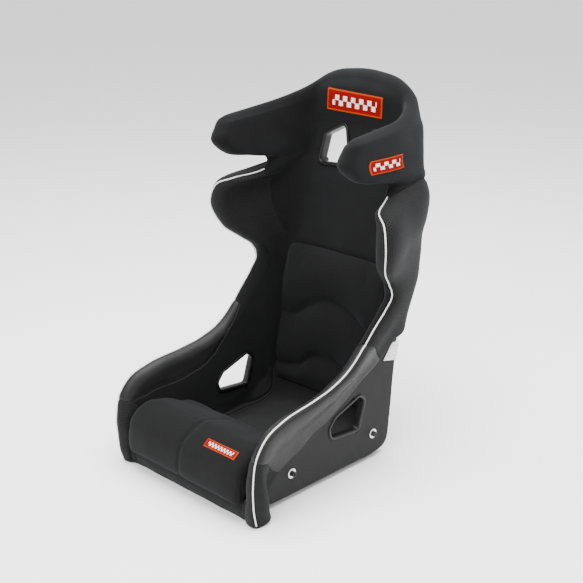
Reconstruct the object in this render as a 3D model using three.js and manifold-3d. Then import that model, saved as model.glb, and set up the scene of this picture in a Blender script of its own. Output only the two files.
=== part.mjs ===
// A fixed-back racing bucket seat with a head halo: one moulded shell, foam pads and bolsters wrapped over
// its rim, loose cushions, belt-slot bezels and side-mount fasteners.
// Millimetres. +Z up, the seat faces -Y, +X is the sitter's left. The origin is the bottom centre of its box.
import * as THREE from "three";
import { mergeVertices } from "three/addons/utils/BufferGeometryUtils.js";
import Module from "manifold-3d";

const wasm = await Module();
wasm.setup();

// ---- Driving dimensions ----------------------------------------------------------------------------
const SIDE_X = 205; // outer face of the flat side-mount walls
const SHELL_T = 4; // laminate thickness
const GAP = 0.5; // clearance between neighbouring pieces
const RIM_BACK = 16; // the laminate's edge stops this far behind the padded crest
const NOSE_LENGTH = 30; // depth of the rounded nose that wraps the laminate's edge
const HOLE_SPACING = 290; // side-mount holes, front to rear
const MOUNT_Z = 70;
const HOLE_R = 7; // laminate hole for the flanged insert
const SPLIT = 0.6; // spacing of the pad faces that are hidden inside the laminate before it is cleared
const vec = (x, y, z) => new THREE.Vector3(x, y, z);
const BOLT_Y = [-HOLE_SPACING / 2, HOLE_SPACING / 2];
const ORIGIN_SHIFT = -18.48; // puts the centre of the seat's box on the origin

// ---- Guide lines -----------------------------------------------------------------------------------
// Each row is one rib of the bucket, from the front lip, along the pan, up the back to the head.
// Columns: c: centre line (y, z). k: corner between floor or back and side wall. f: where the wall's flare
// starts.
// r: the padded crest, where the piping runs. cover, wall, inner: foam over the centre, the wall and the rim.
// outer, rear: foam outside the laminate at the rim and at the rear corner. wrap: how far that foam reaches.
const RIBS = [
  [[-276, 5], [190, -276, 5], [214, -280, 5], [242, -292, 4], [6, 8, 14], [58, 40, 74]],
  [[-288, 28], [190, -286, 28], [216, -284, 30], [244, -301, 40], [6, 8, 15], [54, 36, 84]],
  [[-284, 46], [195, -280, 40], [215, -277, 62], [245, -305, 82], [6, 8, 16], [44, 26, 96]],
  [[-258, 52], [203, -258, 30], [210, -264, 88], [246, -304, 130], [5, 8, 18], [28, 8, 128]],
  [[-225, 50], [205, -225, 14], [206, -235, 104], [246, -296, 172], [5, 9, 20], [20, 6, 150]],
  [[-180, 44], [205, -180, 9], [205, -190, 112], [244, -262, 215], [5, 10, 21], [16, 5, 150]],
  [[-120, 38], [205, -120, 9], [205, -135, 130], [240, -200, 236], [5, 10, 22], [16, 5, 140]],
  [[-50, 30], [205, -50, 9], [205, -75, 162], [236, -120, 245], [5, 10, 22], [16, 5, 110]],
  [[20, 24], [205, 20, 9], [205, -12, 196], [233, -50, 256], [5, 10, 22], [16, 5, 98]],
  [[90, 20], [205, 90, 9], [205, 40, 226], [231, 4, 274], [6, 10, 22], [16, 5, 90]],
  [[150, 20], [205, 150, 9], [205, 80, 250], [230, 44, 298], [8, 10, 22], [16, 6, 88]],
  [[196, 36], [205, 198, 24], [205, 112, 268], [230, 74, 326], [12, 10, 22], [16, 8, 98]],
  [[212, 90], [205, 212, 90], [205, 136, 284], [231, 97, 350], [14, 10, 22], [17, 12, 104]],
  [[222, 180], [205, 222, 180], [206, 158, 306], [232, 120, 374], [14, 11, 23], [18, 14, 110]],
  [[238, 280], [205, 236, 280], [208, 182, 338], [234, 147, 402], [14, 12, 24], [20, 16, 118]],
  [[254, 370], [205, 250, 372], [214, 212, 384], [236, 169, 434], [15, 14, 26], [22, 24, 165]],
  [[270, 450], [200, 268, 452], [222, 222, 450], [238, 155, 469], [16, 16, 28], [24, 36, 190]],
  [[282, 520], [194, 284, 522], [228, 210, 510], [254, 126, 494], [17, 18, 30], [26, 36, 230]],
  [[293, 580], [190, 296, 582], [236, 200, 560], [278, 90, 526], [18, 20, 31], [27, 36, 285]],
  [[302, 630], [188, 305, 632], [240, 200, 602], [298, 66, 588], [18, 22, 31], [27, 42, 315]],
  [[308, 665], [188, 311, 666], [234, 208, 636], [284, 75, 637], [17, 22, 28], [25, 42, 305]],
  [[313, 690], [188, 315, 690], [216, 222, 664], [246, 101, 657], [15, 20, 24], [22, 36, 280]],
  [[317, 706], [188, 318, 703], [202, 246, 688], [207, 180, 678], [14, 18, 20], [20, 24, 200]],
  [[319, 717], [188, 319, 714], [203, 240, 703], [209, 184, 703], [14, 18, 20], [20, 22, 205]],
  [[321, 730], [188, 320, 727], [204, 228, 718], [212, 125, 717], [14, 19, 23], [22, 20, 255]],
  [[325, 756], [188, 322, 752], [207, 210, 742], [214, 48, 733], [15, 20, 25], [23, 18, 328]],
  [[330, 790], [186, 324, 784], [209, 200, 776], [214, 3, 772], [17, 20, 26], [24, 17, 376]],
  [[336, 835], [184, 325, 818], [210, 198, 806], [214, 14, 800], [30, 20, 25], [23, 17, 366]],
  [[341, 882], [180, 322, 846], [209, 205, 828], [214, 36, 812], [40, 18, 22], [20, 16, 346]],
  [[344, 915], [176, 318, 860], [208, 208, 838], [213, 50, 816], [28, 12, 14], [12, 12, 328]],
].map(([c, k, f, r, foam, outside]) => ({ c, k, f, r, foam, outside }));
const TOP = RIBS.length - 1; // rib parameter of the head's top edge
const SHELL_TOP = TOP - 0.35; // the laminate stops short of the padded top edge
// Rib parameters of the seams between neighbouring pads.
const SEAM = { lip: 3, hipFront: 4, base: 11.85, hipRear: 11.3, shoulder: 16.6, notch: 22.5, head: 26.6 };

const line = (pick) => new THREE.CatmullRomCurve3(RIBS.map(pick), false, "centripetal");
const GUIDES = {
  c: line(({ c }) => vec(0, c[0], c[1])),
  k: line(({ k }) => vec(...k)),
  f: line(({ f }) => vec(...f)),
  r: line(({ r }) => vec(...r)),
};
const at = (name, t) => GUIDES[name].getPoint(THREE.MathUtils.clamp(t / TOP, 0, 1));
const along = (name, t) => at(name, t + 0.05).sub(at(name, t - 0.05)).normalize();
const step = (p, dir, d) => p.clone().addScaledVector(dir, d);

// The rib at station i: guide points, the inward normals of floor and wall, and the foam depths.
function rib(i) {
  const [c, k, f, r] = ["c", "k", "f", "r"].map((name) => at(name, i));
  const run = along("c", i);
  const toRim = r.clone().sub(f).normalize();
  const wallIn = toRim.clone().cross(along("f", i)).normalize();
  const { foam, outside } = RIBS[i];
  return { c, k, f, r, toRim, wallIn, floorIn: vec(0, -run.z, run.y), foam, outside };
}

// ---- Section rows, each from the centre line to the rim --------------------------------------------
// A crowned floor, a round corner, a wall, a round flare and a straight rim.
const COUNTS = [3, 3, 1, 2, 1];
const CORNER_END = COUNTS[0] + COUNTS[1];
const RIM_END = COUNTS.reduce((a, b) => a + b);
function bent(c, k, f, r, cornerR, flareR) {
  const toward = (a, b, d) => step(a, b.clone().sub(a).normalize(), Math.min(d, 0.4 * a.distanceTo(b)));
  const crown = vec(k.x * 0.62, c.y, c.z);
  const [k0, k1] = [toward(k, crown, cornerR), toward(k, f, cornerR)];
  const [f0, f1] = [toward(f, k, flareR), toward(f, r, flareR)];
  const curves = [
    new THREE.QuadraticBezierCurve3(c, crown, k0),
    new THREE.QuadraticBezierCurve3(k0, k, k1),
    new THREE.LineCurve3(k1, f0),
    new THREE.QuadraticBezierCurve3(f0, f, f1),
    new THREE.LineCurve3(f1, r),
  ];
  return curves.flatMap((curve, n) => curve.getPoints(COUNTS[n]).slice(n ? 1 : 0));
}

// A grid's unit normals, pointing into the bucket, by central differences.
function normals(grid) {
  return grid.map((row, i) =>
    row.map((_, j) => {
      const dv = grid[Math.min(i + 1, grid.length - 1)][j].clone().sub(grid[Math.max(i - 1, 0)][j]);
      const du = row[Math.min(j + 1, row.length - 1)].clone().sub(row[Math.max(j - 1, 0)]);
      return (j ? du : vec(1, 0, 0)).cross(dv).normalize();
    }),
  );
}
const offset = (grid, n, d) => grid.map((row, i) => row.map((p, j) => step(p, n[i][j], d)));

const ribs = RIBS.map((_, i) => rib(i));
// The laminate's outer face runs to its edge, a little behind the padded crest.
const outerFace = ribs.map(({ c, k, f, r, toRim }, i) =>
  bent(c, k, f, step(r, toRim, -RIM_BACK), 12 + 26 * THREE.MathUtils.smoothstep(i, 11, 18), 45),
);
const faceNormals = normals(outerFace);
const middle = offset(outerFace, faceNormals, SHELL_T / 2 + SPLIT);

// The padded inner face runs to where the nose begins.
const innerPad = ribs.map(({ c, k, f, r, floorIn, toRim, wallIn, foam: [cover, wall, inner] }) => {
  const cIn = step(c, floorIn, SHELL_T + cover);
  const kIn = step(k, floorIn, SHELL_T + Math.min(cover, 18)).add(vec(-SHELL_T - wall, 0, 0));
  const fIn = step(f, wallIn, SHELL_T + wall);
  return bent(cIn, kIn, fIn, step(step(r, toRim, -NOSE_LENGTH), wallIn, SHELL_T / 2 + inner), 40, 40);
});

// The padded outer face: foam that thins from the rim to nothing where the cover ends.
const outerPad = ribs.map(({ r, toRim, wallIn, outside: [outer, rear, wrap] }, i) => {
  const row = outerFace[i];
  const reach = row.map(() => RIM_BACK);
  for (let j = RIM_END - 1; j >= 0; j--) reach[j] = reach[j + 1] + row[j].distanceTo(row[j + 1]);
  return row.map((p, j) => {
    if (j === RIM_END) return step(step(r, toRim, -NOSE_LENGTH), wallIn, SHELL_T / 2 - outer);
    const left = THREE.MathUtils.clamp((wrap - reach[j]) / 30, 0, 1);
    if (!left) return step(p, faceNormals[i][j], SHELL_T / 2 - 2 * SPLIT);
    const full = THREE.MathUtils.lerp(outer, rear, THREE.MathUtils.smoothstep(reach[j] / wrap, 0.2, 0.7));
    return step(p, faceNormals[i][j], -full * Math.sqrt(left * (2 - left)));
  });
});

// Both pad faces meet in a rounded nose round the rim.
const NOSE_ANGLES = [34, 66, 84];
const nose = (i, side) =>
  NOSE_ANGLES.map((degrees) => {
    const { r, toRim, wallIn, foam, outside } = ribs[i];
    const a = THREE.MathUtils.degToRad(degrees);
    const depth = side > 0 ? foam[2] : outside[0];
    const base = step(step(r, toRim, -NOSE_LENGTH), wallIn, SHELL_T / 2);
    return step(step(base, toRim, NOSE_LENGTH * Math.sin(a)), wallIn, side * depth * Math.cos(a));
  });

// ---- Reading rows and columns between the grid's own ----------------------------------------------
function rowAt(grid, t) {
  const i = Math.min(Math.floor(t), grid.length - 2);
  return grid[i].map((p, j) => p.clone().lerp(grid[i + 1][j], t - i));
}
function pointAt(row, u) {
  const j = Math.min(Math.floor(u), row.length - 2);
  return row[j].clone().lerp(row[j + 1], u - j);
}
const MARGIN = 0.02; // rib parameter left free on each side of a seam
function stations(from, to) {
  const inner = RIBS.map((_, i) => i).filter((i) => i > from + 0.05 && i < to - 0.05);
  return [from ? from + MARGIN : 0, ...inner, to < TOP ? to - MARGIN : TOP];
}

// ---- Solids ----------------------------------------------------------------------------------------
function geometry(points, faces) {
  const g = new THREE.BufferGeometry().setFromPoints(points);
  g.setIndex(faces.flat());
  return volume(g) < 0 ? g.setIndex(faces.flatMap(([a, b, c]) => [a, c, b])) : g;
}
function volume(g) {
  const [p, ix] = [g.attributes.position, g.index.array];
  const corner = (n) => new THREE.Vector3().fromBufferAttribute(p, ix[n]);
  let sum = 0;
  for (let i = 0; i < ix.length; i += 3) sum += corner(i).dot(corner(i + 1).cross(corner(i + 2)));
  return sum / 6;
}
const quad = (a, b, c, d) => [[a, b, c], [a, c, d]];

// A closed slab between two grids of the same size. A folded slab's left half has mirrored facets.
function slab(front, back, folded = false) {
  const [rows, cols] = [front.length, front[0].length];
  const id = (side, i, j) => side * rows * cols + i * cols + j;
  const faces = [];
  for (let i = 0; i < rows - 1; i++)
    for (let j = 0; j < cols - 1; j++) {
      const ring = [[i, j], [i, j + 1], [i + 1, j + 1], [i + 1, j]];
      if (folded && j < (cols - 1) / 2) ring.push(ring.shift());
      const [near, far] = [0, 1].map((side) => ring.map(([r, c]) => id(side, r, c)));
      faces.push(...quad(...near), ...quad(far[0], far[3], far[2], far[1]));
    }
  const [end, last] = [rows - 1, cols - 1];
  for (let j = 0; j < last; j++) {
    faces.push(...quad(id(0, 0, j), id(1, 0, j), id(1, 0, j + 1), id(0, 0, j + 1)));
    faces.push(...quad(id(0, end, j), id(0, end, j + 1), id(1, end, j + 1), id(1, end, j)));
  }
  for (let i = 0; i < end; i++) {
    faces.push(...quad(id(0, i + 1, 0), id(1, i + 1, 0), id(1, i, 0), id(0, i, 0)));
    faces.push(...quad(id(1, i, last), id(1, i + 1, last), id(0, i + 1, last), id(0, i, last)));
  }
  return geometry([...front.flat(), ...back.flat()], faces);
}

// The faces between closed sections with the same number of points.
function skin(sections) {
  const n = sections[0].length;
  const faces = [];
  for (let i = 0; i < sections.length - 1; i++)
    for (let j = 0; j < n; j++) {
      const k = (j + 1) % n;
      faces.push(...quad(i * n + j, i * n + k, (i + 1) * n + k, (i + 1) * n + j));
    }
  return faces;
}
// A closed solid through flat convex sections with the same number of points.
function loft(sections) {
  const n = sections[0].length;
  const last = (sections.length - 1) * n;
  const faces = skin(sections);
  for (let j = 1; j < n - 1; j++) faces.push([0, j + 1, j], [last, last + j, last + j + 1]);
  return geometry(sections.flat(), faces);
}

function solid(g) {
  const bare = g.clone();
  ["normal", "uv"].forEach((name) => bare.deleteAttribute(name));
  const merged = mergeVertices(bare, 1e-3);
  const triVerts = new Uint32Array(merged.index.array);
  const vertProperties = merged.attributes.position.array;
  return new wasm.Manifold(new wasm.Mesh({ numProp: 3, vertProperties, triVerts }));
}
function drawn(body) {
  const { vertProperties, triVerts } = largest(body.simplify(0.12)).getMesh();
  const g = new THREE.BufferGeometry().setAttribute("position", new THREE.BufferAttribute(vertProperties, 3));
  return g.setIndex(new THREE.BufferAttribute(triVerts, 1));
}
const largest = (body) => body.decompose().sort((a, b) => b.volume() - a.volume())[0];
// The main body left after the cuts; crumbs the laminate leaves on its far side are dropped.
const minus = (body, ...tools) => largest(tools.reduce((rest, tool) => rest.subtract(tool), body));
const mirroredRow = (row) => [...row.slice(1).reverse().map((p) => vec(-p.x, p.y, p.z)), ...row];
const mirroredGrid = (grid) => grid.map(mirroredRow);
function mirror(g) {
  const flipped = g.clone().scale(-1, 1, 1);
  const ix = Array.from(flipped.index.array);
  for (let i = 0; i < ix.length; i += 3) [ix[i], ix[i + 1]] = [ix[i + 1], ix[i]];
  return flipped.setIndex(ix);
}
const mirrorSolid = (body) => solid(mirror(drawn(body)));

// An outline moved in (or out, for a negative distance) and rounded, drawn counter-clockwise.
function outline(corners, inset, radius) {
  const n = corners.length;
  const edges = corners.map(([x, y], i) => {
    const [dx, dy] = [corners[(i + 1) % n][0] - x, corners[(i + 1) % n][1] - y];
    const l = Math.hypot(dx, dy);
    return { x: x - (dy / l) * inset, y: y + (dx / l) * inset, dx, dy };
  });
  const moved = edges.map((b, i) => {
    const a = edges[(i + n - 1) % n];
    const s = ((b.x - a.x) * b.dy - (b.y - a.y) * b.dx) / (a.dx * b.dy - a.dy * b.dx);
    return new THREE.Vector2(a.x + a.dx * s, a.y + a.dy * s);
  });
  const shape = new THREE.Shape();
  moved.forEach((p, i) => {
    const [before, after] = [moved[(i + n - 1) % n], moved[(i + 1) % n]];
    const cut = (q) => q.clone().sub(p).setLength(Math.min(radius, 0.45 * q.distanceTo(p))).add(p);
    const [a, b] = [cut(before), cut(after)];
    i ? shape.lineTo(a.x, a.y) : shape.moveTo(a.x, a.y);
    shape.quadraticCurveTo(p.x, p.y, b.x, b.y);
  });
  return shape;
}

// ---- The laminate ----------------------------------------------------------------------------------
const shellStations = [...Array(TOP).keys(), SHELL_TOP];
const shellGrid = (d) => shellStations.map((t) => rowAt(offset(outerFace, faceNormals, d), t));
const shellBlank = solid(slab(mirroredGrid(shellGrid(SHELL_T)), mirroredGrid(shellGrid(0)), true));
// The same laminate grown by the gap, to clear the pads that wrap its rim.
const grown = (d) => {
  const rows = shellGrid(d).map((row, n) => {
    const rim = step(row.at(-1), ribs[Math.min(n, TOP)].toRim, GAP);
    return [...row.slice(0, -1), rim];
  });
  const longer = (row, next) => row.map((p, j) => step(p, p.clone().sub(next[j]).normalize(), GAP));
  return [longer(rows[0], rows[1]), ...rows.slice(1, -1), longer(rows.at(-1), rows.at(-2))];
};
const shellRoom = solid(slab(mirroredGrid(grown(SHELL_T + GAP)), mirroredGrid(grown(-GAP)), true));

// ---- Pads ------------------------------------------------------------------------------------------
// A bolster wraps the rim: cover on the inside from the corner on, foam on the outside where it reaches.
const PAD_START = CORNER_END;
const HIDDEN_COLUMNS = [2, 3, 4, 5, PAD_START - 0.02];
const insideGrid = offset(outerFace, faceNormals, SHELL_T / 2 - SPLIT);
function chains(t) {
  const wrapIn = rowAt(innerPad, t);
  const hidden = rowAt(insideGrid, t);
  const open = wrapIn.slice(PAD_START);
  const noseRow = (side) => rowAt(ribs.map((_, i) => nose(i, side)), t);
  const outer = rowAt(outerPad, t);
  return {
    inside: [...HIDDEN_COLUMNS.map((u) => pointAt(hidden, u)), ...open, ...noseRow(1)],
    outside: [...HIDDEN_COLUMNS.map((u) => pointAt(outer, u)), ...outer.slice(PAD_START), ...noseRow(-1)],
  };
}
// The last row of a pad drawn in and pushed past the laminate's end, so the cover rolls over the edge.
function rolled(rows, [start, end]) {
  const close = (row, next, reach, squeeze) => {
    const move = (p, q, other) => step(p, p.clone().sub(q).normalize(), reach).lerp(other, squeeze);
    return {
      inside: row.inside.map((p, j) => move(p, next.inside[j], row.outside[j])),
      outside: row.outside.map((p, j) => move(p, next.outside[j], row.inside[j])),
    };
  };
  const out = [...rows];
  if (end) out.push(close(rows.at(-1), rows.at(-2), 8, 0.1), close(rows.at(-1), rows.at(-2), 13, 0.3));
  if (start) out.unshift(close(rows[0], rows[1], 4.1, 0.12));
  return out;
}
function bolster(from, to) {
  const rows = rolled(stations(from, to).map(chains), [from === 0, to === TOP]);
  return minus(solid(slab(rows.map(({ inside }) => inside), rows.map(({ outside }) => outside))), shellRoom);
}

// A centre pad covers the floor or back between the two corners.
const CENTRE_COLUMNS = [0, 1, 2, 3, 4, 5];
function centrePad(from, to, { behind = () => 0, edge = 0.12 } = {}) {
  const columns = [...CENTRE_COLUMNS, PAD_START - edge];
  const rows = rolled(
    stations(from, to).map((t) => {
      const [front, hidden, outer] = [innerPad, middle, outerFace].map((grid) => rowAt(grid, t));
      const n = rowAt(faceNormals, t);
      const outside = (u) => step(pointAt(outer, u), pointAt(n, u), -behind(t));
      const back = (u) => (behind(t) && u < 2 ? outside(u) : pointAt(hidden, u));
      return { inside: columns.map((u) => pointAt(front, u)), outside: columns.map(back) };
    }),
    [false, to === TOP],
  );
  const [front, back] = ["inside", "outside"].map((side) => mirroredGrid(rows.map((row) => row[side])));
  return minus(solid(slab(front, back, true)), shellRoom);
}

// ---- Belt slots ------------------------------------------------------------------------------------
// Corners of each bezel's flange. Lap slots lie in the side walls (y, z), shoulder slots in the back (x, z).
const LAP_SLOT = [[87, 102], [109, 174], [93, 190], [3, 160], [-16, 136], [-8, 111]];
const SHOULDER_SLOT = [[20, 690], [122, 682], [112, 757], [46, 792]];
const CROTCH_SLOT = [[-55, -108], [55, -108], [55, -68], [-55, -68]];
const FLANGE = 6; // width of the flange beyond the sleeve
const SLEEVE = 5; // wall of the sleeve
// Each frame turns a slot drawn in its own plane, with depth running outwards, into the seat.
const [AXIS_X, AXIS_Y, AXIS_Z] = [vec(1, 0, 0), vec(0, 1, 0), vec(0, 0, 1)];
const lapFrame = new THREE.Matrix4().makeBasis(AXIS_Y, AXIS_Z, AXIS_X);
const BACK_SLOPE = Math.atan2(337 - 308, 835 - 665);
const SLOT_MID = { y: 323.5, z: 735 };
const [slopeSin, slopeCos] = [Math.sin(BACK_SLOPE), Math.cos(BACK_SLOPE)];
const shoulderFrame = new THREE.Matrix4()
  .makeTranslation(0, SLOT_MID.y, SLOT_MID.z)
  .multiply(new THREE.Matrix4().makeBasis(AXIS_X, vec(0, slopeSin, slopeCos), vec(0, slopeCos, -slopeSin)))
  .multiply(new THREE.Matrix4().makeTranslation(0, -SLOT_MID.z, 0));
const crotchFrame = new THREE.Matrix4().makeBasis(AXIS_X, AXIS_Y, vec(0, 0, -1));
function plate(corners, inset, radius, from, to, frame) {
  const settings = { depth: to - from, bevelEnabled: false, curveSegments: 2 };
  const g = new THREE.ExtrudeGeometry(outline(corners, inset, radius), settings);
  return solid(geometryOf(g.translate(0, 0, from).applyMatrix4(frame)));
}
function geometryOf(g) {
  const indexed = g.index ? g : mergeVertices(g, 1e-3);
  return volume(indexed) < 0 ? mirror(indexed.clone().scale(-1, 1, 1)) : indexed;
}
// One slot: the bezel's two flanges and sleeve, and the hole the sleeve needs.
function slot(corners, radius, [inner, outer], frame) {
  const flanges = [[inner - 2.6, inner - GAP], [outer + GAP, outer + 3]];
  const bodies = flanges.map(([a, b]) => plate(corners, 0, radius + 3, a, b, frame));
  const sleeve = plate(corners, FLANGE, radius, inner - 2, outer + 2, frame);
  const joined = bodies.reduce((sum, body) => sum.add(body), sleeve);
  return {
    bezel: joined.subtract(plate(corners, FLANGE + SLEEVE, radius - 2, inner - 20, outer + 20, frame)),
    room: plate(corners, FLANGE - GAP, radius + GAP, inner - 12, outer + 12, frame),
  };
}

const lap = slot(LAP_SLOT, 12, [SIDE_X - SHELL_T - 10, SIDE_X], lapFrame);
const lapRight = { bezel: mirrorSolid(lap.bezel), room: mirrorSolid(lap.room) };
const shoulder = slot(SHOULDER_SLOT, 14, [-24.5, 0], shoulderFrame);
const shoulderRight = { bezel: mirrorSolid(shoulder.bezel), room: mirrorSolid(shoulder.room) };
const crotch = slot(CROTCH_SLOT, 12, [-83, -29], crotchFrame);
const slotRooms = [lap, lapRight, shoulder, shoulderRight, crotch].map(({ room }) => room);

// ---- Side-mount fasteners, drawn on the left wall --------------------------------------------------
const turned = (profile, y) => {
  const g = new THREE.LatheGeometry(profile.map(([r, x]) => new THREE.Vector2(r, x)), 8);
  return solid(geometryOf(mergeVertices(g.rotateZ(-Math.PI / 2).translate(0, y, MOUNT_Z), 1e-3)));
};
const WASHER = { inner: SIDE_X + 0.2, outer: SIDE_X + 1.6, r: 12.5 };
const HEAD_X = WASHER.outer + 0.2; // under the bolt's head
const BORE_R = 4.4;
// Profiles of radius and x. The washer and the insert close on themselves; the bolt and the holes start
// and end on the axis.
const disc = (r, [from, to], y) => turned([[0, from], [r, from], [r, to], [0, to]], y);
const BARREL_R = 6.6;
const COLLAR = { r: 12, from: 198.6, to: 200.6 };
const boltProfile = [
  [0, 195], [4, 195], [4, HEAD_X], [6.5, HEAD_X], [6.5, HEAD_X + 7.4],
  [5.9, HEAD_X + 8], [3.4, HEAD_X + 8], [3.4, HEAD_X + 4], [0, HEAD_X + 4],
];
const insertProfile = [
  [BORE_R, 196], [BARREL_R, 196], [BARREL_R, COLLAR.from], [COLLAR.r, COLLAR.from], [COLLAR.r, COLLAR.to],
  [BARREL_R, COLLAR.to], [BARREL_R, SIDE_X - 0.2], [BORE_R, SIDE_X - 0.2], [BORE_R, 196],
];
const washerProfile = [
  [BORE_R, WASHER.inner], [WASHER.r, WASHER.inner], [WASHER.r, WASHER.outer], [BORE_R, WASHER.outer],
  [BORE_R, WASHER.inner],
];
const fastener = (y) => ({
  insert: turned(insertProfile, y),
  washer: turned(washerProfile, y),
  bolt: turned(boltProfile, y),
  hole: disc(HOLE_R, [194, 215], y),
  pocket: disc(COLLAR.r + 0.6, [194.5, 202], y),
});
const fasteners = BOLT_Y.map(fastener);
const holes = fasteners.flatMap(({ hole }) => [hole, mirrorSolid(hole)]);

// ---- Cushions --------------------------------------------------------------------------------------
const HALF_SEAT = 187; // half the width between the side walls' foam
// The seat base fills the pan's well up to a gently rising top.
const [BREAK_Y, BREAK_Z] = [-110, 80]; // where the top turns down towards the front lip
const [FRONT_SLOPE, REAR_SLOPE] = [15 / 150, 10 / 290];
const baseTop = (y) => BREAK_Z + (y - BREAK_Y) * (y > BREAK_Y ? REAR_SLOPE : FRONT_SLOPE);
function seatBase() {
  const columns = [0, 1, 2, 2.97];
  const rows = stations(SEAM.lip, SEAM.base).map((t) => {
    const row = rowAt(middle, t);
    return columns.map((u) => pointAt(row, u)).map((p) => vec(Math.min(p.x, HALF_SEAT), p.y, p.z));
  });
  const top = rows.map((row) => row.map((p) => vec(p.x, p.y, Math.max(baseTop(p.y), p.z + 1))));
  return minus(solid(slab(mirroredGrid(top), mirroredGrid(rows), true)), shellRoom);
}

// The leg cushion's profile (y, z), over the front lip and up to its rounded nose. Its sections run across
// the seat as x and a scale about the profile's middle: round ends, and a shallow seam down the centre.
const LEG_PROFILE = [
  [-116, 88], [-116, 122], [-124, 131], [-160, 142], [-205, 158], [-245, 166], [-272, 158], [-293, 143],
  [-309, 122], [-316, 94], [-313, 62], [-306, 59.5], [-262, 68], [-200, 75], [-124, 82.5],
];
const LEG_MIDDLE = [-215, 108];
const LEG_HALF = [[2, 1], [172, 0.985], [184, 0.94], [187, 0.86]];
const LEG_SECTIONS = [...LEG_HALF.map(([x, scale]) => [-x, scale]).reverse(), [0, 0.985], ...LEG_HALF];
function legCushion() {
  const [cy, cz] = LEG_MIDDLE;
  const section = ([x, s]) => LEG_PROFILE.map(([y, z]) => vec(x, cy + (y - cy) * s, cz + (z - cz) * s));
  return solid(loftFlat(LEG_SECTIONS.map(section)));
}
// A closed solid through flat sections of any shape, capped by triangulating the end outlines.
function loftFlat(sections) {
  const n = sections[0].length;
  const last = (sections.length - 1) * n;
  const flat = sections[0].map(({ y, z }) => new THREE.Vector2(y, z));
  const ends = THREE.ShapeUtils.triangulateShape(flat, []);
  const caps = ends.flatMap(([a, b, c]) => [[c, b, a], [a + last, b + last, c + last]]);
  return geometry(sections.flat(), [...caps, ...skin(sections)]);
}

// A thin piece laid on the centre pads: rows of rib parameter, columns of row index, and two heights.
const innerNormals = normals(innerPad);
function layer(rows, columns, heightAt, both = true) {
  const grids = [0, 1].map((side) =>
    rows.map((t) => {
      const [row, n] = [rowAt(innerPad, t), rowAt(innerNormals, t)];
      return columns.map((u) => step(pointAt(row, u), pointAt(n, u), heightAt(t, u)[side]));
    }),
  );
  return solid(slab(...grids.map((grid) => (both ? mirroredGrid(grid) : grid)), both));
}
const LUMBAR = { from: 12.12, to: 16.35, thickness: 28, lift: 2 };
const lumbarEnds = [LUMBAR.from, LUMBAR.from + 0.12, LUMBAR.to - 0.12, LUMBAR.to];
const lumbarRows = [13, 13.6, 14, 14.6, 15, 15.55, 16, ...lumbarEnds].sort((a, b) => a - b);
const LUMBAR_CHANNELS = [13, 14.6]; // rows of the two sewn channels
const lumbarPad = layer(lumbarRows, [0, 1, 2, 2.9, 3.2], (t, u) => {
  const edge = Math.min(t - LUMBAR.from, LUMBAR.to - t) < 0.05 || u > 3.1 ? 0.55 : 1;
  const channel = LUMBAR_CHANNELS.includes(t) ? 0.72 : 1;
  return [LUMBAR.lift, LUMBAR.thickness * edge * channel];
});

// Fastening strips under the two loose pads.
const lumbarStrip = (from, to) => layer([from, to], [0, 1, 1.6], () => [0.5, 1.4]);
const legStrip = (y) => {
  const [halfLength, halfWidth] = [130, 12];
  const ends = [[-1, -1], [1, -1], [1, 1], [-1, 1]].map(([a, b]) => [a * halfLength, y + b * halfWidth]);
  const corners = (h) => ends.map(([x, along]) => vec(x, along, baseTop(y) + (along - y) * FRONT_SLOPE + h));
  return solid(loft([corners(0.4), corners(1.3)]));
};

// ---- Piping, patches and label ---------------------------------------------------------------------
const PIPING_R = 2.5;
function piping() {
  const rows = [...Array(Math.ceil(SEAM.notch)).keys()];
  const sections = rows.map((t) => {
    const i = Math.min(Math.round(t), TOP);
    const { toRim, wallIn } = ribs[i];
    const crest = rowAt(ribs.map(({ r }) => [r]), t)[0];
    const middlePoint = step(step(crest, toRim, PIPING_R + 0.7), wallIn, SHELL_T / 2);
    return [...Array(6).keys()].map((n) => {
      const a = (n * Math.PI) / 3;
      return step(step(middlePoint, toRim, PIPING_R * Math.cos(a)), wallIn, PIPING_R * Math.sin(a));
    });
  });
  return solid(loft(sections));
}
const headPatch = layer([26.95, 27.3, 27.65, 28], [0, 1, 1.45], () => [0.8, 2.2]);
function wingPatch() {
  const rows = [25.12, 25.6, 26, 26.12];
  const columns = [8.2, 9, 9.72];
  const n = normals(outerPad);
  const lifted = (t, u, d) => step(pointAt(rowAt(outerPad, t), u), pointAt(rowAt(n, t), u), -d);
  const grid = (d) => rows.map((t) => columns.map((u) => lifted(t, u, d)));
  return solid(slab(grid(0.8), grid(2.2)));
}
function cushionPatch() {
  const [front, rear] = [[-291, 144.6], [-274, 157.4]];
  const corners = [[62, ...front], [166, ...front], [166, ...rear], [62, ...rear]];
  const lifted = (h) => corners.map(([x, y, z]) => vec(x, y - 0.35 * h, z + 0.93 * h));
  return solid(loft([0.8, 2.2].map(lifted)));
}
// A blank label (y, z) on the left wall's top rear corner, beside the pad's edge.
const LABEL = [[176, 258], [224, 247], [235, 297], [208, 297]];
const label = plate(LABEL, 0, 2, SIDE_X + 2, SIDE_X + 2.6, lapFrame);

// ---- The finished seat -----------------------------------------------------------------------------
const look = (color, roughness, metalness = 0) =>
  new THREE.MeshStandardMaterial({ color, roughness, metalness, flatShading: true });
const laminate = look(0x2b2d2f, 0.42);
const knit = look(0x141414, 0.95);
const mesh = look(0x1c1d1e, 0.9);
const vinyl = look(0x303234, 0.55);
const trim = look(0xf2f2ee, 0.6);
const plastic = look(0x0c0c0d, 0.3);
const steel = look(0xc9ccd0, 0.25, 1);
const patch = look(0xc8321e, 0.7);
const strip = look(0x0a0a0a, 0.9);

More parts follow.
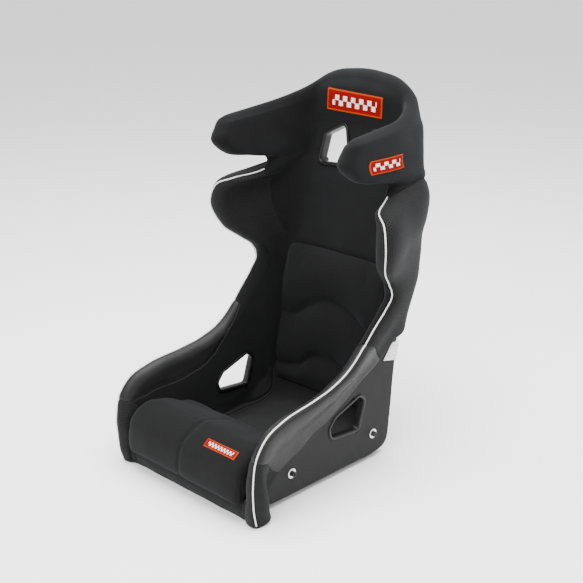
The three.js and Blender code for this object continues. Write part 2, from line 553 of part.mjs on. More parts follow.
const seat = new THREE.Group();
seat.name = "racing_seat";
function add(name, body, material) {
  const g = drawn(body).translate(0, ORIGIN_SHIFT, 0);
  const piece = new THREE.Mesh(g, material);
  piece.name = name;
  seat.add(piece);
}
function pair(name, body, material, other = mirrorSolid(body)) {
  add(`${name}_left`, body, material);
  add(`${name}_right`, other, material);
}

add("shell", minus(shellBlank, ...holes, ...slotRooms), laminate);
pair("lap_slot_bezel", lap.bezel, plastic);
pair("shoulder_slot_bezel", shoulder.bezel, plastic);
add("crotch_slot_bezel", crotch.bezel, plastic);

// Below this line (y, z) the side pads' covers end, and the flat wall shows.
const HEM = [[120, 236], [120, 120], [300, 120], [300, 345], [262, 345], [222, 318], [198, 296], [157, 264]];
const hemRoom = plate(HEM, 0, 1, SIDE_X + 0.2, SIDE_X + 60, lapFrame);
const pockets = fasteners.map(({ pocket }) => pocket);
const sidePad = (from, to, ...rooms) => minus(bolster(from, to), ...rooms);
pair("front_bolster", sidePad(0, SEAM.hipFront), mesh);
pair("hip_bolster", sidePad(SEAM.hipFront, SEAM.hipRear, lap.room, ...pockets), vinyl);
pair("side_pad", sidePad(SEAM.hipRear, SEAM.shoulder, lap.room, hemRoom), mesh);
pair("shoulder_pad", sidePad(SEAM.shoulder, SEAM.notch), mesh);
pair("halo_pad", sidePad(SEAM.notch, TOP), knit);
const slotCuts = [shoulder.room, shoulderRight.room];
add("back_pad", minus(centrePad(12.08, SEAM.head), ...slotCuts), knit);
add("head_pad", centrePad(SEAM.head, TOP, { behind: (t) => (t > 27.5 ? 9 : 0) }), knit);
add("front_lip_pad", centrePad(0, SEAM.lip, { edge: 0.4 }), knit);
add("seat_base_pad", minus(seatBase(), crotch.room), mesh);
add("leg_cushion", legCushion(), knit);
add("lumbar_pad", lumbarPad, knit);

pair("piping", piping(), trim);
add("head_patch", headPatch, patch);
pair("wing_patch", wingPatch(), patch);
add("cushion_patch", cushionPatch(), patch);
add("side_label", label, look(0xb9bcc0, 0.5));
add("leg_strip_front", legStrip(-235), strip);
add("leg_strip_rear", legStrip(-145), strip);
add("lumbar_strip_lower", lumbarStrip(13.2, 13.5), strip);
add("lumbar_strip_upper", lumbarStrip(15.2, 15.5), strip);

["front", "rear"].forEach((place, n) => {
  const { bolt, washer, insert } = fasteners[n];
  pair(`bolt_${place}`, bolt, steel);
  pair(`washer_${place}`, washer, steel);
  pair(`insert_${place}`, insert, steel);
});

export default seat;
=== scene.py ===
"""The looks of a fixed-back racing bucket seat with a head halo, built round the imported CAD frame.

Guide lines, sections and panels are worked out in millimetres and turned into metres when a mesh is made.
t runs along the seat, one step per rib, from the front lip to the top of the head. u runs across it.
"""

from math import cos, pi, radians, sin, tau

import bpy
import numpy as np
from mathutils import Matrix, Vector
from mathutils.kdtree import KDTree


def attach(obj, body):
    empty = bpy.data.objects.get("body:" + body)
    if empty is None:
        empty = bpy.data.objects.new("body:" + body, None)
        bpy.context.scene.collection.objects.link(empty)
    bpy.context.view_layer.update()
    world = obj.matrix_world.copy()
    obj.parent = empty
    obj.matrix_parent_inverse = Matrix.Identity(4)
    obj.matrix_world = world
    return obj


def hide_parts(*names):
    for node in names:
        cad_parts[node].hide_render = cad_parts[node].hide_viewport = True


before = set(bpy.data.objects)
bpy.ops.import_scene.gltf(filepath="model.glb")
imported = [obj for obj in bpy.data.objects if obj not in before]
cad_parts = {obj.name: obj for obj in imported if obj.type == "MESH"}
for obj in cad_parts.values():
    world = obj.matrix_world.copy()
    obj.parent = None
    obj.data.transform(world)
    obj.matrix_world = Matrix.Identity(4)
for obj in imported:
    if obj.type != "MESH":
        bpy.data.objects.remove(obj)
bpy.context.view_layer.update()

MM = 0.001
ORIGIN_Y = -18.48  # from the section frame to the seat's origin, in millimetres
SIDE_X = 205.0  # outer face of the flat side walls
SHELL_T = 4.0
RIM_BACK = 16.0  # the laminate's edge stops this far behind the padded crest
NOSE_LENGTH = 30.0
SKIN_T = 2.4  # cover with its bonded foam layer
LIP_T = 5.0  # the same on the front lip
PIPING_R = 1.75
BOLT_Y = (-145.0, 145.0)
SIDES = (("left", 1), ("right", -1))
MOUNT_Z = 70.0

# ---- Guide lines -------------------------------------------------------------------------------------
# One row per rib. Columns: centre (y, z); corner, flare and crest (x, y, z); foam over the centre, the wall
# and the rim; foam outside the laminate at the rim and at the rear corner, and how far that foam wraps.
RIBS = [
    ((-276, 5), (190, -276, 5), (214, -280, 5), (242, -292, 4), (6, 8, 14), (48, 32, 74)),
    ((-288, 28), (190, -286, 28), (216, -284, 30), (244, -301, 40), (6, 8, 15), (45, 30, 84)),
    ((-284, 46), (195, -280, 40), (215, -277, 62), (245, -305, 82), (6, 8, 16), (38, 22, 96)),
    ((-258, 52), (203, -258, 30), (210, -264, 88), (246, -304, 130), (5, 8, 18), (28, 8, 128)),
    ((-225, 50), (205, -225, 14), (206, -235, 104), (246, -296, 172), (5, 9, 20), (20, 6, 150)),
    ((-180, 44), (205, -180, 9), (205, -190, 112), (244, -262, 215), (5, 10, 21), (16, 5, 150)),
    ((-120, 38), (205, -120, 9), (205, -135, 130), (240, -200, 236), (5, 10, 22), (16, 5, 140)),
    ((-50, 30), (205, -50, 9), (205, -75, 162), (236, -120, 245), (5, 10, 22), (16, 5, 110)),
    ((20, 24), (205, 20, 9), (205, -12, 196), (233, -50, 256), (5, 10, 22), (16, 5, 98)),
    ((90, 20), (205, 90, 9), (205, 40, 226), (231, 4, 274), (6, 10, 22), (16, 5, 90)),
    ((150, 20), (205, 150, 9), (205, 80, 250), (230, 44, 298), (8, 10, 22), (16, 6, 88)),
    ((196, 36), (205, 198, 24), (205, 112, 268), (230, 74, 326), (12, 10, 22), (16, 8, 98)),
    ((212, 90), (205, 212, 90), (205, 136, 284), (231, 97, 350), (14, 10, 22), (17, 12, 104)),
    ((222, 180), (205, 222, 180), (206, 158, 306), (232, 120, 374), (14, 11, 23), (18, 14, 110)),
    ((238, 280), (205, 236, 280), (208, 182, 338), (234, 147, 402), (14, 12, 24), (20, 16, 118)),
    ((254, 370), (205, 250, 372), (214, 212, 384), (236, 169, 434), (15, 14, 26), (22, 24, 165)),
    ((270, 450), (200, 268, 452), (222, 222, 450), (238, 155, 469), (16, 16, 28), (24, 36, 190)),
    ((282, 520), (194, 284, 522), (228, 210, 510), (254, 126, 494), (17, 18, 30), (26, 36, 230)),
    ((293, 580), (190, 296, 582), (236, 200, 560), (278, 90, 526), (18, 20, 31), (27, 36, 285)),
    ((302, 630), (188, 305, 632), (240, 200, 602), (298, 66, 588), (18, 22, 31), (27, 42, 315)),
    ((308, 665), (188, 311, 666), (234, 208, 636), (284, 75, 637), (17, 22, 28), (25, 42, 305)),
    ((313, 690), (188, 315, 690), (216, 222, 664), (246, 101, 657), (15, 20, 24), (22, 36, 280)),
    ((317, 706), (188, 318, 703), (202, 246, 688), (207, 180, 678), (14, 18, 20), (20, 24, 190)),
    ((319, 717), (188, 319, 714), (203, 240, 703), (209, 184, 703), (14, 18, 20), (20, 22, 190)),
    ((321, 730), (188, 320, 727), (204, 228, 718), (212, 125, 717), (14, 19, 23), (22, 20, 246)),
    ((325, 756), (188, 322, 752), (207, 210, 742), (214, 48, 733), (15, 20, 25), (23, 18, 328)),
    ((330, 790), (186, 324, 784), (209, 200, 776), (214, 3, 772), (17, 20, 26), (24, 17, 376)),
    ((336, 835), (184, 325, 818), (210, 198, 806), (214, 14, 800), (30, 20, 25), (23, 17, 366)),
    ((341, 882), (180, 322, 846), (209, 205, 828), (214, 24, 816), (40, 18, 22), (20, 16, 346)),
    ((344, 915), (176, 318, 860), (208, 208, 838), (213, 34, 824), (28, 12, 14), (12, 12, 328)),
]
TOP = len(RIBS) - 1
SHELL_TOP = TOP - 0.35

# Steps in each zone of a section, from the centre line to the cover's end outside. u is the zone's number
# plus the share of it passed: 0 floor or back, 1 corner, 2 wall, 3 flare, 4 rim, 5 and 6 nose, 7 outside.
ZONES = (40, 16, 16, 20, 10, 14, 14, 64)
U = np.concatenate([[0.0]] + [z + np.arange(1, n + 1) / n for z, n in enumerate(ZONES)])
T_STEP = 0.05
T = np.arange(0, TOP + T_STEP / 2, T_STEP)
CREST_U = 6.0


def smoothstep(a, b, x):
    s = np.clip((np.asarray(x, float) - a) / (b - a), 0, 1)
    return s * s * (3 - 2 * s)


def unit(v):
    return v / np.maximum(np.linalg.norm(v, axis=-1, keepdims=True), 1e-9)


def arc_lengths(points, axis=0):
    """Distance along a line of points, or along each line of a grid, from its start."""
    steps = np.linalg.norm(np.diff(points, axis=axis), axis=-1)
    start = np.zeros((len(steps), 1)) if axis else [0]
    return np.concatenate([start, np.cumsum(steps, axis=axis)], axis=axis)


def mirrored(values, negative):
    """The vectors with x turned round where negative."""
    return values * (np.where(negative, -1.0, 1.0)[..., None] * np.array([1, 0, 0]) + np.array([0, 1, 1]))


def quad(corners, across, up):
    """A grid of points between four corners, given anticlockwise."""
    s, v = np.linspace(0, 1, across)[None, :, None], np.linspace(0, 1, up)[:, None, None]
    a, b, c, d = (np.array(p, float) for p in corners)
    return (a * (1 - s) + b * s) * (1 - v) + (d * (1 - s) + c * s) * v


def both_halves(front, out, uv):
    """A half's points, outward directions and cloth coordinates, continued over the centre line."""
    flips = ((front, (-1, 1, 1)), (out, (-1, 1, 1)), (uv, (-1, 1)))
    return (np.concatenate([(values * flip)[:, :0:-1], values], axis=1) for values, flip in flips)


def guide(points):
    """A centripetal Catmull-Rom line through the points, read by index."""
    p = np.array(points, float)
    p = np.vstack([2 * p[0] - p[1], p, 2 * p[-1] - p[-2]])

    def gap(a, b):
        return np.maximum(np.linalg.norm(b - a, axis=-1, keepdims=True), 1e-6) ** 0.5

    def read(t):
        t = np.clip(np.asarray(t, float), 0, len(points) - 1)
        i = np.minimum(t.astype(int), len(points) - 2)
        w = (t - i)[..., None]
        a, b, c, d = p[i], p[i + 1], p[i + 2], p[i + 3]
        ab, bc, cd = gap(a, b), gap(b, c), gap(c, d)
        m1 = bc * ((b - a) / ab - (c - a) / (ab + bc) + (c - b) / bc)
        m2 = bc * ((c - b) / bc - (d - b) / (bc + cd) + (d - c) / cd)
        w2, w3 = w * w, w * w * w
        ends = (2 * w3 - 3 * w2 + 1) * b + (3 * w2 - 2 * w3) * c
        return ends + (w3 - 2 * w2 + w) * m1 + (w3 - w2) * m2

    return read


GUIDES = {
    "c": guide([(0, *row[0]) for row in RIBS]),
    "k": guide([row[1] for row in RIBS]),
    "f": guide([row[2] for row in RIBS]),
    "r": guide([row[3] for row in RIBS]),
    "foam": guide([row[4] for row in RIBS]),
    "outside": guide([row[5] for row in RIBS]),
}


def along(name, t):
    """A guide's direction at each t."""
    return unit(GUIDES[name](np.asarray(t) + 0.05) - GUIDES[name](np.asarray(t) - 0.05))


def rib(t):
    """Guide points and directions of the section at each t."""
    g = {name: read(t) for name, read in GUIDES.items()}
    run = along("c", t)
    g["floor_in"] = np.stack([0 * run[:, 0], -run[:, 2], run[:, 1]], 1)
    g["to_rim"] = unit(g["r"] - g["f"])
    g["wall_in"] = unit(np.cross(g["to_rim"], along("f", t)))
    return g


# ---- Sections ----------------------------------------------------------------------------------------
def toward(a, b, d):
    """The points d from a towards b, at most 0.4 of the way."""
    gap = np.linalg.norm(b - a, axis=1)
    return a + unit(b - a) * np.minimum(d, 0.4 * gap)[:, None]


def bezier(a, b, c, n):
    s = np.linspace(0, 1, n + 1)[None, :, None]
    return (1 - s) ** 2 * a[:, None] + 2 * s * (1 - s) * b[:, None] + s**2 * c[:, None]


def straight(a, b, n):
    s = np.linspace(0, 1, n + 1)[None, :, None]
    return a[:, None] * (1 - s) + b[:, None] * s


def bent(c, k, f, r, corner_r, flare_r):
    """Rows from the centre line to the rim: crowned floor, round corner, wall, round flare, rim."""
    crown = np.stack([k[:, 0] * 0.62, c[:, 1], c[:, 2]], 1)
    k0, k1 = toward(k, crown, corner_r), toward(k, f, corner_r)
    f0, f1 = toward(f, k, flare_r), toward(f, r, flare_r)
    curves = [
        bezier(c, crown, k0, ZONES[0]),
        bezier(k0, k, k1, ZONES[1]),
        straight(k1, f0, ZONES[2]),
        bezier(f0, f, f1, ZONES[3]),
        straight(f1, r, ZONES[4]),
    ]
    return np.concatenate([curves[0]] + [curve[:, 1:] for curve in curves[1:]], axis=1)


def grid_normals(grid):
    """Unit normals of a half-section grid. Inside the bucket they point at the sitter."""
    dv = np.gradient(grid, axis=0)
    du = np.gradient(grid, axis=1)
    du[:, 0] = (1, 0, 0)
    return unit(np.cross(du, dv))


SHELL_CORNER = (12.0, 38.0)  # reach of the shell's round corner, in the pan and in the back
SHELL_FLARE = 45.0
PAD_BEND = 40.0


def outer_face(t):
    """The shell's outside, from the centre line to its rim."""
    g = rib(t)
    rim = g["r"] - g["to_rim"] * RIM_BACK
    pan, back = SHELL_CORNER
    corner = pan + (back - pan) * smoothstep(11, 18, t)
    return bent(g["c"], g["k"], g["f"], rim, corner, np.full(len(t), SHELL_FLARE))


def inner_pad(t):
    """The padding's inside, from the centre line to the nose."""
    g = rib(t)
    cover, wall, inner = (g["foam"][:, i : i + 1] for i in range(3))
    c = g["c"] + g["floor_in"] * (SHELL_T + cover)
    k = g["k"] + g["floor_in"] * (SHELL_T + np.minimum(cover, 18)) - np.array([1, 0, 0]) * (SHELL_T + wall)
    f = g["f"] + g["wall_in"] * (SHELL_T + wall)
    r = g["r"] - g["to_rim"] * NOSE_LENGTH + g["wall_in"] * (SHELL_T / 2 + inner)
    return bent(c, k, f, r, *np.full((2, len(t)), PAD_BEND))


def nose_arc(g, depth, side, angles):
    """A quarter of the padding's round edge, on the inside (side 1) or the outside (side -1)."""
    base = g["r"] - g["to_rim"] * NOSE_LENGTH + g["wall_in"] * SHELL_T / 2
    points = [
        base + g["to_rim"] * NOSE_LENGTH * sin(a) + g["wall_in"] * side * depth * cos(a) for a in angles
    ]
    return np.stack(points, axis=1)


def row_read(row, at, s):
    """Each row of points read at its own arc lengths s."""
    out = np.empty(s.shape + (row.shape[2],))
    for i in range(len(row)):
        for k in range(row.shape[2]):
            out[i, :, k] = np.interp(s[i], at[i], row[i, :, k])
    return out


# Above this rib the cover goes on over the back of the head to the centre line.
OVER_HEAD = (27.0, 27.7)
OVER_DEPTH = 9.0


def section(t):
    """The padded surface from the centre of the inside, round the rim, to where the cover ends outside."""
    g = rib(t)
    inner = g["foam"][:, 2:3]
    outer, rear, wrap = (g["outside"][:, i : i + 1] for i in range(3))
    nose_in = nose_arc(g, inner, 1, np.linspace(0, pi / 2, ZONES[5] + 1)[1:])
    nose_out = nose_arc(g, outer, -1, np.linspace(pi / 2, 0, ZONES[6] + 1)[1:])
    face = outer_face(t)
    back, back_n = face[:, ::-1], grid_normals(face)[:, ::-1]
    at = RIM_BACK + arc_lengths(back, axis=1)
    over = smoothstep(*OVER_HEAD, t)[:, None]
    reach_end = wrap + (at[:, -1:] - wrap) * over
    s = 1 - (1 - np.arange(1, ZONES[7] + 1) / ZONES[7])[None, :] ** 1.5
    reach = NOSE_LENGTH + (reach_end - NOSE_LENGTH) * s
    thin = outer - SHELL_T / 2
    behind = rear + (OVER_DEPTH - rear) * smoothstep(25.5, 28.5, t)[:, None]
    full = thin + (behind - thin) * smoothstep(0.2, 0.7, reach / reach_end)
    hem = np.clip((reach_end - reach) / np.minimum(16.0, 0.5 * full + 6), 0, 1)
    rounding = np.sqrt(hem * (2 - hem)) * (1 - over) + over
    depth = np.maximum(full, 2.5) * rounding + 0.4
    outside = row_read(back, at, reach) - unit(row_read(back_n, at, reach)) * depth[:, :, None]
    return np.concatenate([inner_pad(t), nose_in, nose_out, outside], axis=1)


# ---- Seams, each a line of (t, u) ----------------------------------------------------------------------
BACK_SEAM = [
    (12.0, 1.9), (16.4, 1.9), (16.6, 2.15), (16.85, 3.0), (17.45, 3.2), (18.2, 3.3), (18.95, 3.3),
    (20.25, 3.5), (21.2, 4.4), (21.65, 5.17), (21.85, 5.83),
]
HALO_SEAM = [(21.85, 5.83), (22.35, 6.0), (22.7, 6.25), (22.7, 7.1), (22.35, 7.3), (21.8, 7.45), (21.5, 8.0)]
SHOULDER_HEM = [(16.6, 2.15), (16.5, 3.7), (16.35, 4.25), (16.2, 5.1), (15.85, 5.6), (15.5, 6.0)]
VINYL_INNER = [
    (4.1, 5.0), (4.7, 4.62), (5.45, 4.5), (6.25, 4.25), (6.85, 4.12), (7.5, 4.0), (8.1, 4.12), (8.8, 4.7),
    (9.35, 5.15), (10.3, 5.35), (11.2, 5.5), (11.3, 6.0),
]
VINYL_FRONT = [(4.1, 5.0), (3.9, 5.33), (3.8, 5.92), (3.95, 6.25), (4.5, 7.5), (4.85, 7.8), (5.1, 8.0)]
VINYL_TOP = [(11.3, 6.0), (11.45, 6.42), (11.95, 7.14), (12.2, 7.6), (12.3, 8.0)]
LIP_SEAM = [(0.0, 2.6), (0.6, 2.25), (1.2, 2.0), (3.0, 1.9)]
BASE_SEAM = [(3.0, 1.9), (4.1, 2.2), (11.5, 2.2), (12.0, 1.9)]
CREST_LINE = [(0.0, CREST_U), (22.35, CREST_U)]
FRONT_INNER = [(4.1, 2.2), (4.1, 5.0)]
HALO_T = 22.35
HEAD_U = 2.0  # between the head's centre cover and the halo wings


def line_at(line, value, by=0):
    """The other coordinate of a (t, u) line where its t (by 0) or u (by 1) has this value."""
    points = sorted(line, key=lambda p: p[by])
    return np.interp(value, [p[by] for p in points], [p[1 - by] for p in points])


def walk(line, n):
    """n points evenly spaced by step along a (t, u) line."""
    p = np.array(line, float)
    s = arc_lengths(p)
    at = np.linspace(0, s[-1], n)
    return np.stack([np.interp(at, s, p[:, 0]), np.interp(at, s, p[:, 1])], 1)


def read_grid(grid, t, u):
    """The grid's value at each (t, u), between its own rows and columns."""
    i = np.clip(np.asarray(t, float) / T_STEP, 0, len(T) - 1.001)
    j = np.clip(np.interp(u, U, np.arange(len(U))), 0, len(U) - 1.001)
    i0, j0 = i.astype(int), j.astype(int)
    a, b = (i - i0)[..., None], (j - j0)[..., None]
    near = grid[i0, j0] * (1 - b) + grid[i0, j0 + 1] * b
    far = grid[i0 + 1, j0] * (1 - b) + grid[i0 + 1, j0 + 1] * b
    return near * (1 - a) + far * a


def waves(points, scale, seed, count=14):
    """A smooth irregular field of about +-1 at the points, with bumps about scale across."""
    draw = np.random.default_rng(seed)
    directions = unit(draw.normal(size=(count, 3)))
    sizes = tau / (scale * draw.uniform(0.7, 1.6, count))
    phases = draw.uniform(0, tau, count)
    return np.cos(points @ (directions * sizes[:, None]).T + phases).sum(-1) * (2 / count) ** 0.5 / 1.4


def seam_distance(points, lines):
    """How far each point is from the nearest of the seams."""
    marks = np.concatenate([read_grid(SURFACE, *walk(line, 260).T) for line in lines])
    tree = KDTree(len(marks))
    for i, p in enumerate(marks):
        tree.insert(p, i)
    tree.balance()
    flat = points.reshape(-1, 3)
    return np.array([tree.find(p)[2] for p in flat]).reshape(points.shape[:-1])


SURFACE = section(T)


def fill_hollows(surface, passes=60):
    """Eases the foam outside the shoulders and ribs, where it bridges the shell's concave flare."""
    across = (smoothstep(6.35, 6.8, U) * smoothstep(8.0, 7.75, U))[None, :]
    shoulders = (across * (smoothstep(11.5, 13, T) * smoothstep(22.3, 21.6, T))[:, None])[:, 1:-1, None]
    everywhere = np.broadcast_to(across, (len(T), len(U)))[:, 1:-1, None]
    for number in range(passes):
        weight = everywhere if number < 14 else shoulders
        middle = (surface[:, :-2] + surface[:, 2:]) / 2
        surface[:, 1:-1] += weight * 0.5 * (middle - surface[:, 1:-1])
    return surface


SURFACE = fill_hollows(SURFACE)
SEAMS = [BACK_SEAM, HALO_SEAM, SHOULDER_HEM, VINYL_INNER, VINYL_FRONT, VINYL_TOP, LIP_SEAM, FRONT_INNER]
SEAM_DIP, SEAM_WIDTH = 2.2, 6.0
CREST_DIP, CREST_WIDTH = 1.6, 6.0


def vinyl_mask(t, u):
    """1 on the hip bolster's vinyl, fading to 0 at its borders."""
    inner = np.where(t < 11.3, line_at(VINYL_INNER, t), 9.0)
    front = line_at(VINYL_FRONT, np.clip(u, 5, 8), by=1)
    return smoothstep(0.0, 0.3, u - inner) * smoothstep(0.0, 0.25, t - front) * smoothstep(11.3, 11.0, t)


def relief():
    """How far each point of the surface stands off its plain section: seams, soft waves and wrinkles."""
    t, u = np.meshgrid(T, U, indexing="ij")
    near = seam_distance(SURFACE, SEAMS)
    crest = seam_distance(SURFACE, [CREST_LINE])
    height = -SEAM_DIP * np.clip(1 - near / SEAM_WIDTH, 0, 1) ** 2
    height -= CREST_DIP * np.clip(1 - crest / CREST_WIDTH, 0, 1) ** 2
    height += 0.55 * waves(SURFACE, 75, 3)
    vinyl = vinyl_mask(t, u)
    creases = waves(SURFACE * np.array([1, 0.55, 1]), 34, 5)
    height += vinyl * (0.6 * waves(SURFACE, 70, 8) - 0.4 * np.exp(-((creases / 0.12) ** 2)) * (near < 60))
    # Short puckers where the vinyl is drawn into its inner seam.
    pucker = np.sin(SURFACE[..., 1] / 3.7 + 1.5 * waves(SURFACE, 40, 9))
    height += vinyl * 0.35 * pucker * np.exp(-near / 12) * smoothstep(3, 9, near)
    return height


HEIGHT = relief()
BODY = SURFACE + grid_normals(SURFACE) * HEIGHT[..., None]
OUTWARD = grid_normals(BODY)
ARC_U = arc_lengths(SURFACE, axis=1)
ARC_COLUMNS = slice(40, 140)  # from the corner to the start of the outside
RUN_STEPS = np.linalg.norm(np.diff(SURFACE[:, ARC_COLUMNS], axis=0), axis=2).mean(1)
ARC_T = np.concatenate([[0], np.cumsum(RUN_STEPS)])
CREST_COLUMN = int(np.searchsorted(U, CREST_U))


def on_body(t, u):
    """The finished surface's points and outward directions at each (t, u)."""
    return read_grid(BODY, t, u), unit(read_grid(OUTWARD, t, u))


def arc_map(from_crest):
    """Cloth coordinates in millimetres: across from the crest or the centre line, and along the seat."""
    across = ARC_U - (ARC_U[:, CREST_COLUMN : CREST_COLUMN + 1] if from_crest else 0)
    return np.stack([across, ARC_T[:, None] + 0 * across], axis=-1)


# ---- Belt slots ----------------------------------------------------------------------------------------
def rounded(corners, radius, steps=10):
    """A closed outline with round corners, anticlockwise."""
    p = np.array(corners, float)
    area = np.sum(p[:, 0] * np.roll(p[:, 1], -1) - np.roll(p[:, 0], -1) * p[:, 1])
    p = p if area > 0 else p[::-1]
    out = []
    for i, corner in enumerate(p):
        before, after = unit(p[i - 1] - corner), unit(p[(i + 1) % len(p)] - corner)
        half = np.arccos(np.clip(before @ after, -1, 1)) / 2
        reach = radius / np.tan(half)
        gaps = np.linalg.norm(p[i - 1] - corner), np.linalg.norm(p[(i + 1) % len(p)] - corner)
        reach = min(reach, 0.48 * min(gaps))
        for s in np.linspace(0, 1, steps + 1):
            a, b = corner + before * reach, corner + after * reach
            out.append((1 - s) ** 2 * a + 2 * s * (1 - s) * corner + s * s * b)
    return even(np.array(out), 96)


def even(loop, n):
    """n points evenly spaced round a closed outline."""
    closed = np.vstack([loop, loop[:1]])
    s = arc_lengths(closed)
    at = np.linspace(0, s[-1], n, endpoint=False)
    return np.stack([np.interp(at, s, closed[:, k]) for k in range(2)], 1)


def grown(loop, d):
    """The outline moved outwards by d."""
    run = unit(np.roll(loop, -1, axis=0) - np.roll(loop, 1, axis=0))
    return loop + np.stack([run[:, 1], -run[:, 0]], 1) * d


def within(points, loop):
    """Which 2D points lie inside the outline."""
    x, y = points[..., 0], points[..., 1]
    hit = np.zeros(x.shape, bool)
    for (ax, ay), (bx, by) in zip(loop, np.roll(loop, -1, axis=0)):
        if ay != by:
            hit ^= ((ay > y) != (by > y)) & (x < (bx - ax) * (y - ay) / (by - ay) + ax)
    return hit


def lap_frame(side):
    """Origin and axes (across the opening, up it, out through the shell) of a side-wall slot."""
    return np.array([0.0, 0, 0]), np.array([[0, 1, 0], [0, 0, 1], [side, 0, 0]], float)


SHOULDER_TILT = np.arctan2(29, 170)
SHOULDER_ORIGIN = np.array([0, 323.5, 735])


def shoulder_frame():
    s, c = sin(SHOULDER_TILT), cos(SHOULDER_TILT)
    axes = np.array([[1, 0, 0], [0, s, c], [0, c, -s]], float)
    return SHOULDER_ORIGIN - axes[1] * 735, axes


def crotch_frame():
    return np.zeros(3), np.array([[1, 0, 0], [0, 1, 0], [0, 0, -1]], float)


LAP = rounded([[87, 102], [109, 174], [93, 190], [3, 160], [-16, 136], [-8, 111]], 12)
SHOULDER = rounded([[20, 690], [122, 682], [112, 757], [46, 792]], 14)
CROTCH = rounded([[-55, -108], [55, -108], [55, -68], [-55, -68]], 12)
MIRROR_2D = np.array([-1, 1])
# Name, outline, its frame, and where along the frame's third axis the opening starts inside and ends outside.
SLOTS = [
    ("lap_slot_bezel_left", LAP, lap_frame(1), SIDE_X - 14, SIDE_X),
    ("lap_slot_bezel_right", LAP, lap_frame(-1), SIDE_X - 14, SIDE_X),
    ("shoulder_slot_bezel_left", SHOULDER, shoulder_frame(), -24.5, 0.0),
    ("shoulder_slot_bezel_right", (SHOULDER * MIRROR_2D)[::-1], shoulder_frame(), -24.5, 0.0),
    ("crotch_slot_bezel", CROTCH, crotch_frame(), -83.0, -29.0),
]
FLANGE = 6.0  # how far a bezel's flange reaches past its opening
SLOT_INSET = 0.4  # the cut in the panels stays this far inside the bezel's outline
SLOT_ABOVE, SLOT_BELOW = 25.0, 12.0  # how far a cut goes past its opening, inside and outside


def in_slot(points):
    """Which points lie in a belt slot's opening."""
    hit = np.zeros(points.shape[:-1], bool)
    for _, outline, (origin, axes), inner, outer in SLOTS:
        local = (points - origin) @ axes.T
        deep = (local[..., 2] > inner - SLOT_ABOVE) & (local[..., 2] < outer + SLOT_BELOW)
        hit |= deep & within(local[..., :2], grown(outline, -SLOT_INSET))
    return hit


# ---- Meshes --------------------------------------------------------------------------------------------
def make(name, points, faces, normals=None, uv=None):
    """A smooth mesh object from points in the section frame, in millimetres."""
    mesh = bpy.data.meshes.new(name)
    placed = (np.asarray(points) + (0, ORIGIN_Y, 0)) * MM
    mesh.from_pydata(placed.tolist(), [], [list(f) for f in faces])
    mesh.polygons.foreach_set("use_smooth", np.ones(len(mesh.polygons), bool))
    if uv is not None:
        corner = np.empty(len(mesh.loops), int)
        mesh.loops.foreach_get("vertex_index", corner)
        layer = mesh.uv_layers.new(name="cloth")
        layer.data.foreach_set("uv", np.asarray(uv)[corner].ravel())
    if normals is not None:
        mesh.normals_split_custom_set_from_vertices(np.asarray(normals).tolist())
    thing = bpy.data.objects.new(name, mesh)
    bpy.context.scene.collection.objects.link(thing)
    return thing


def grid_faces(n, m, closed=False):
    """Four-sided faces over n rows of m points, joined round if closed."""
    i, j = np.meshgrid(np.arange(n - 1), np.arange(m if closed else m - 1), indexing="ij")
    a, b = i * m + j, i * m + (j + 1) % m
    return np.stack([a, b, b + m, a + m], -1).reshape(-1, 4)


def rim_edges(faces):
    """Directed edges that only one face has."""
    edges = {(f[k], f[(k + 1) % len(f)]) for f in faces.tolist() for k in range(len(f))}
    return [(a, b) for a, b in edges if (b, a) not in edges]


def closed_sheet(name, front, out, thickness, uv, side=1):
    """A sheet of the given thickness behind a grid of points, open where the belt slots are."""
    n, m = front.shape[:2]
    p, normal = front.reshape(-1, 3), out.reshape(-1, 3)
    depth = np.broadcast_to(np.asarray(thickness, float), (n, m)).reshape(-1, 1)
    faces = grid_faces(n, m)
    faces = faces[~in_slot(p)[faces].any(axis=1)]
    spans = np.linalg.norm(p[faces[:, 0]] - p[faces[:, 2]], axis=1)
    faces = faces[spans > 1e-3]
    used, packed = np.unique(faces, return_inverse=True)
    faces = packed.reshape(-1, 4)
    p, normal, depth, uv = p[used], normal[used], depth[used], uv.reshape(-1, 2)[used]
    walls = [(b, a, a + len(p), b + len(p)) for a, b in sorted(rim_edges(faces))]
    everything = faces.tolist() + (faces[:, ::-1] + len(p)).tolist() + walls
    points = np.concatenate([p, p - normal * depth])
    normals = np.concatenate([normal, -normal])
    if side < 0:
        points, normals = points * (-1, 1, 1), normals * (-1, 1, 1)
        everything = [f[::-1] for f in everything]
    return make(name, points, everything, normals, np.concatenate([uv, uv]))


def tube(name, path, radius, sides=16, up=(0, 0, 1)):
    """A round cord along a path, closed at both ends, with its length in u and its girth in v."""
    run = unit(np.gradient(path, axis=0))
    across = unit(np.cross(run, np.array(up, float)))
    over = np.cross(across, run)
    angles = np.linspace(0, tau, sides, endpoint=False)
    ring = across[:, None] * np.cos(angles)[:, None] + over[:, None] * np.sin(angles)[:, None]
    points = path[:, None] + ring * radius
    uv = np.stack(np.broadcast_arrays(arc_lengths(path)[:, None], angles * radius), -1)
    faces = grid_faces(len(path), sides, closed=True).tolist()
    last = (len(path) - 1) * sides
    faces += [list(range(sides))[::-1], list(range(last, last + sides))]
    return make(name, points.reshape(-1, 3), faces, None, uv.reshape(-1, 2))


def ring_loft(name, rings, side=1):
    """A closed band through a closed chain of outlines with equal point counts."""
    rings = np.array(rings)
    n, m = rings.shape[:2]
    i, j = np.meshgrid(np.arange(n), np.arange(m), indexing="ij")
    k, l = (i + 1) % n, (j + 1) % m
    faces = np.stack([i * m + j, i * m + l, k * m + l, k * m + j], -1).reshape(-1, 4)
    if side < 0:
        faces = faces[:, ::-1]
    return make(name, rings.reshape(-1, 3), faces)


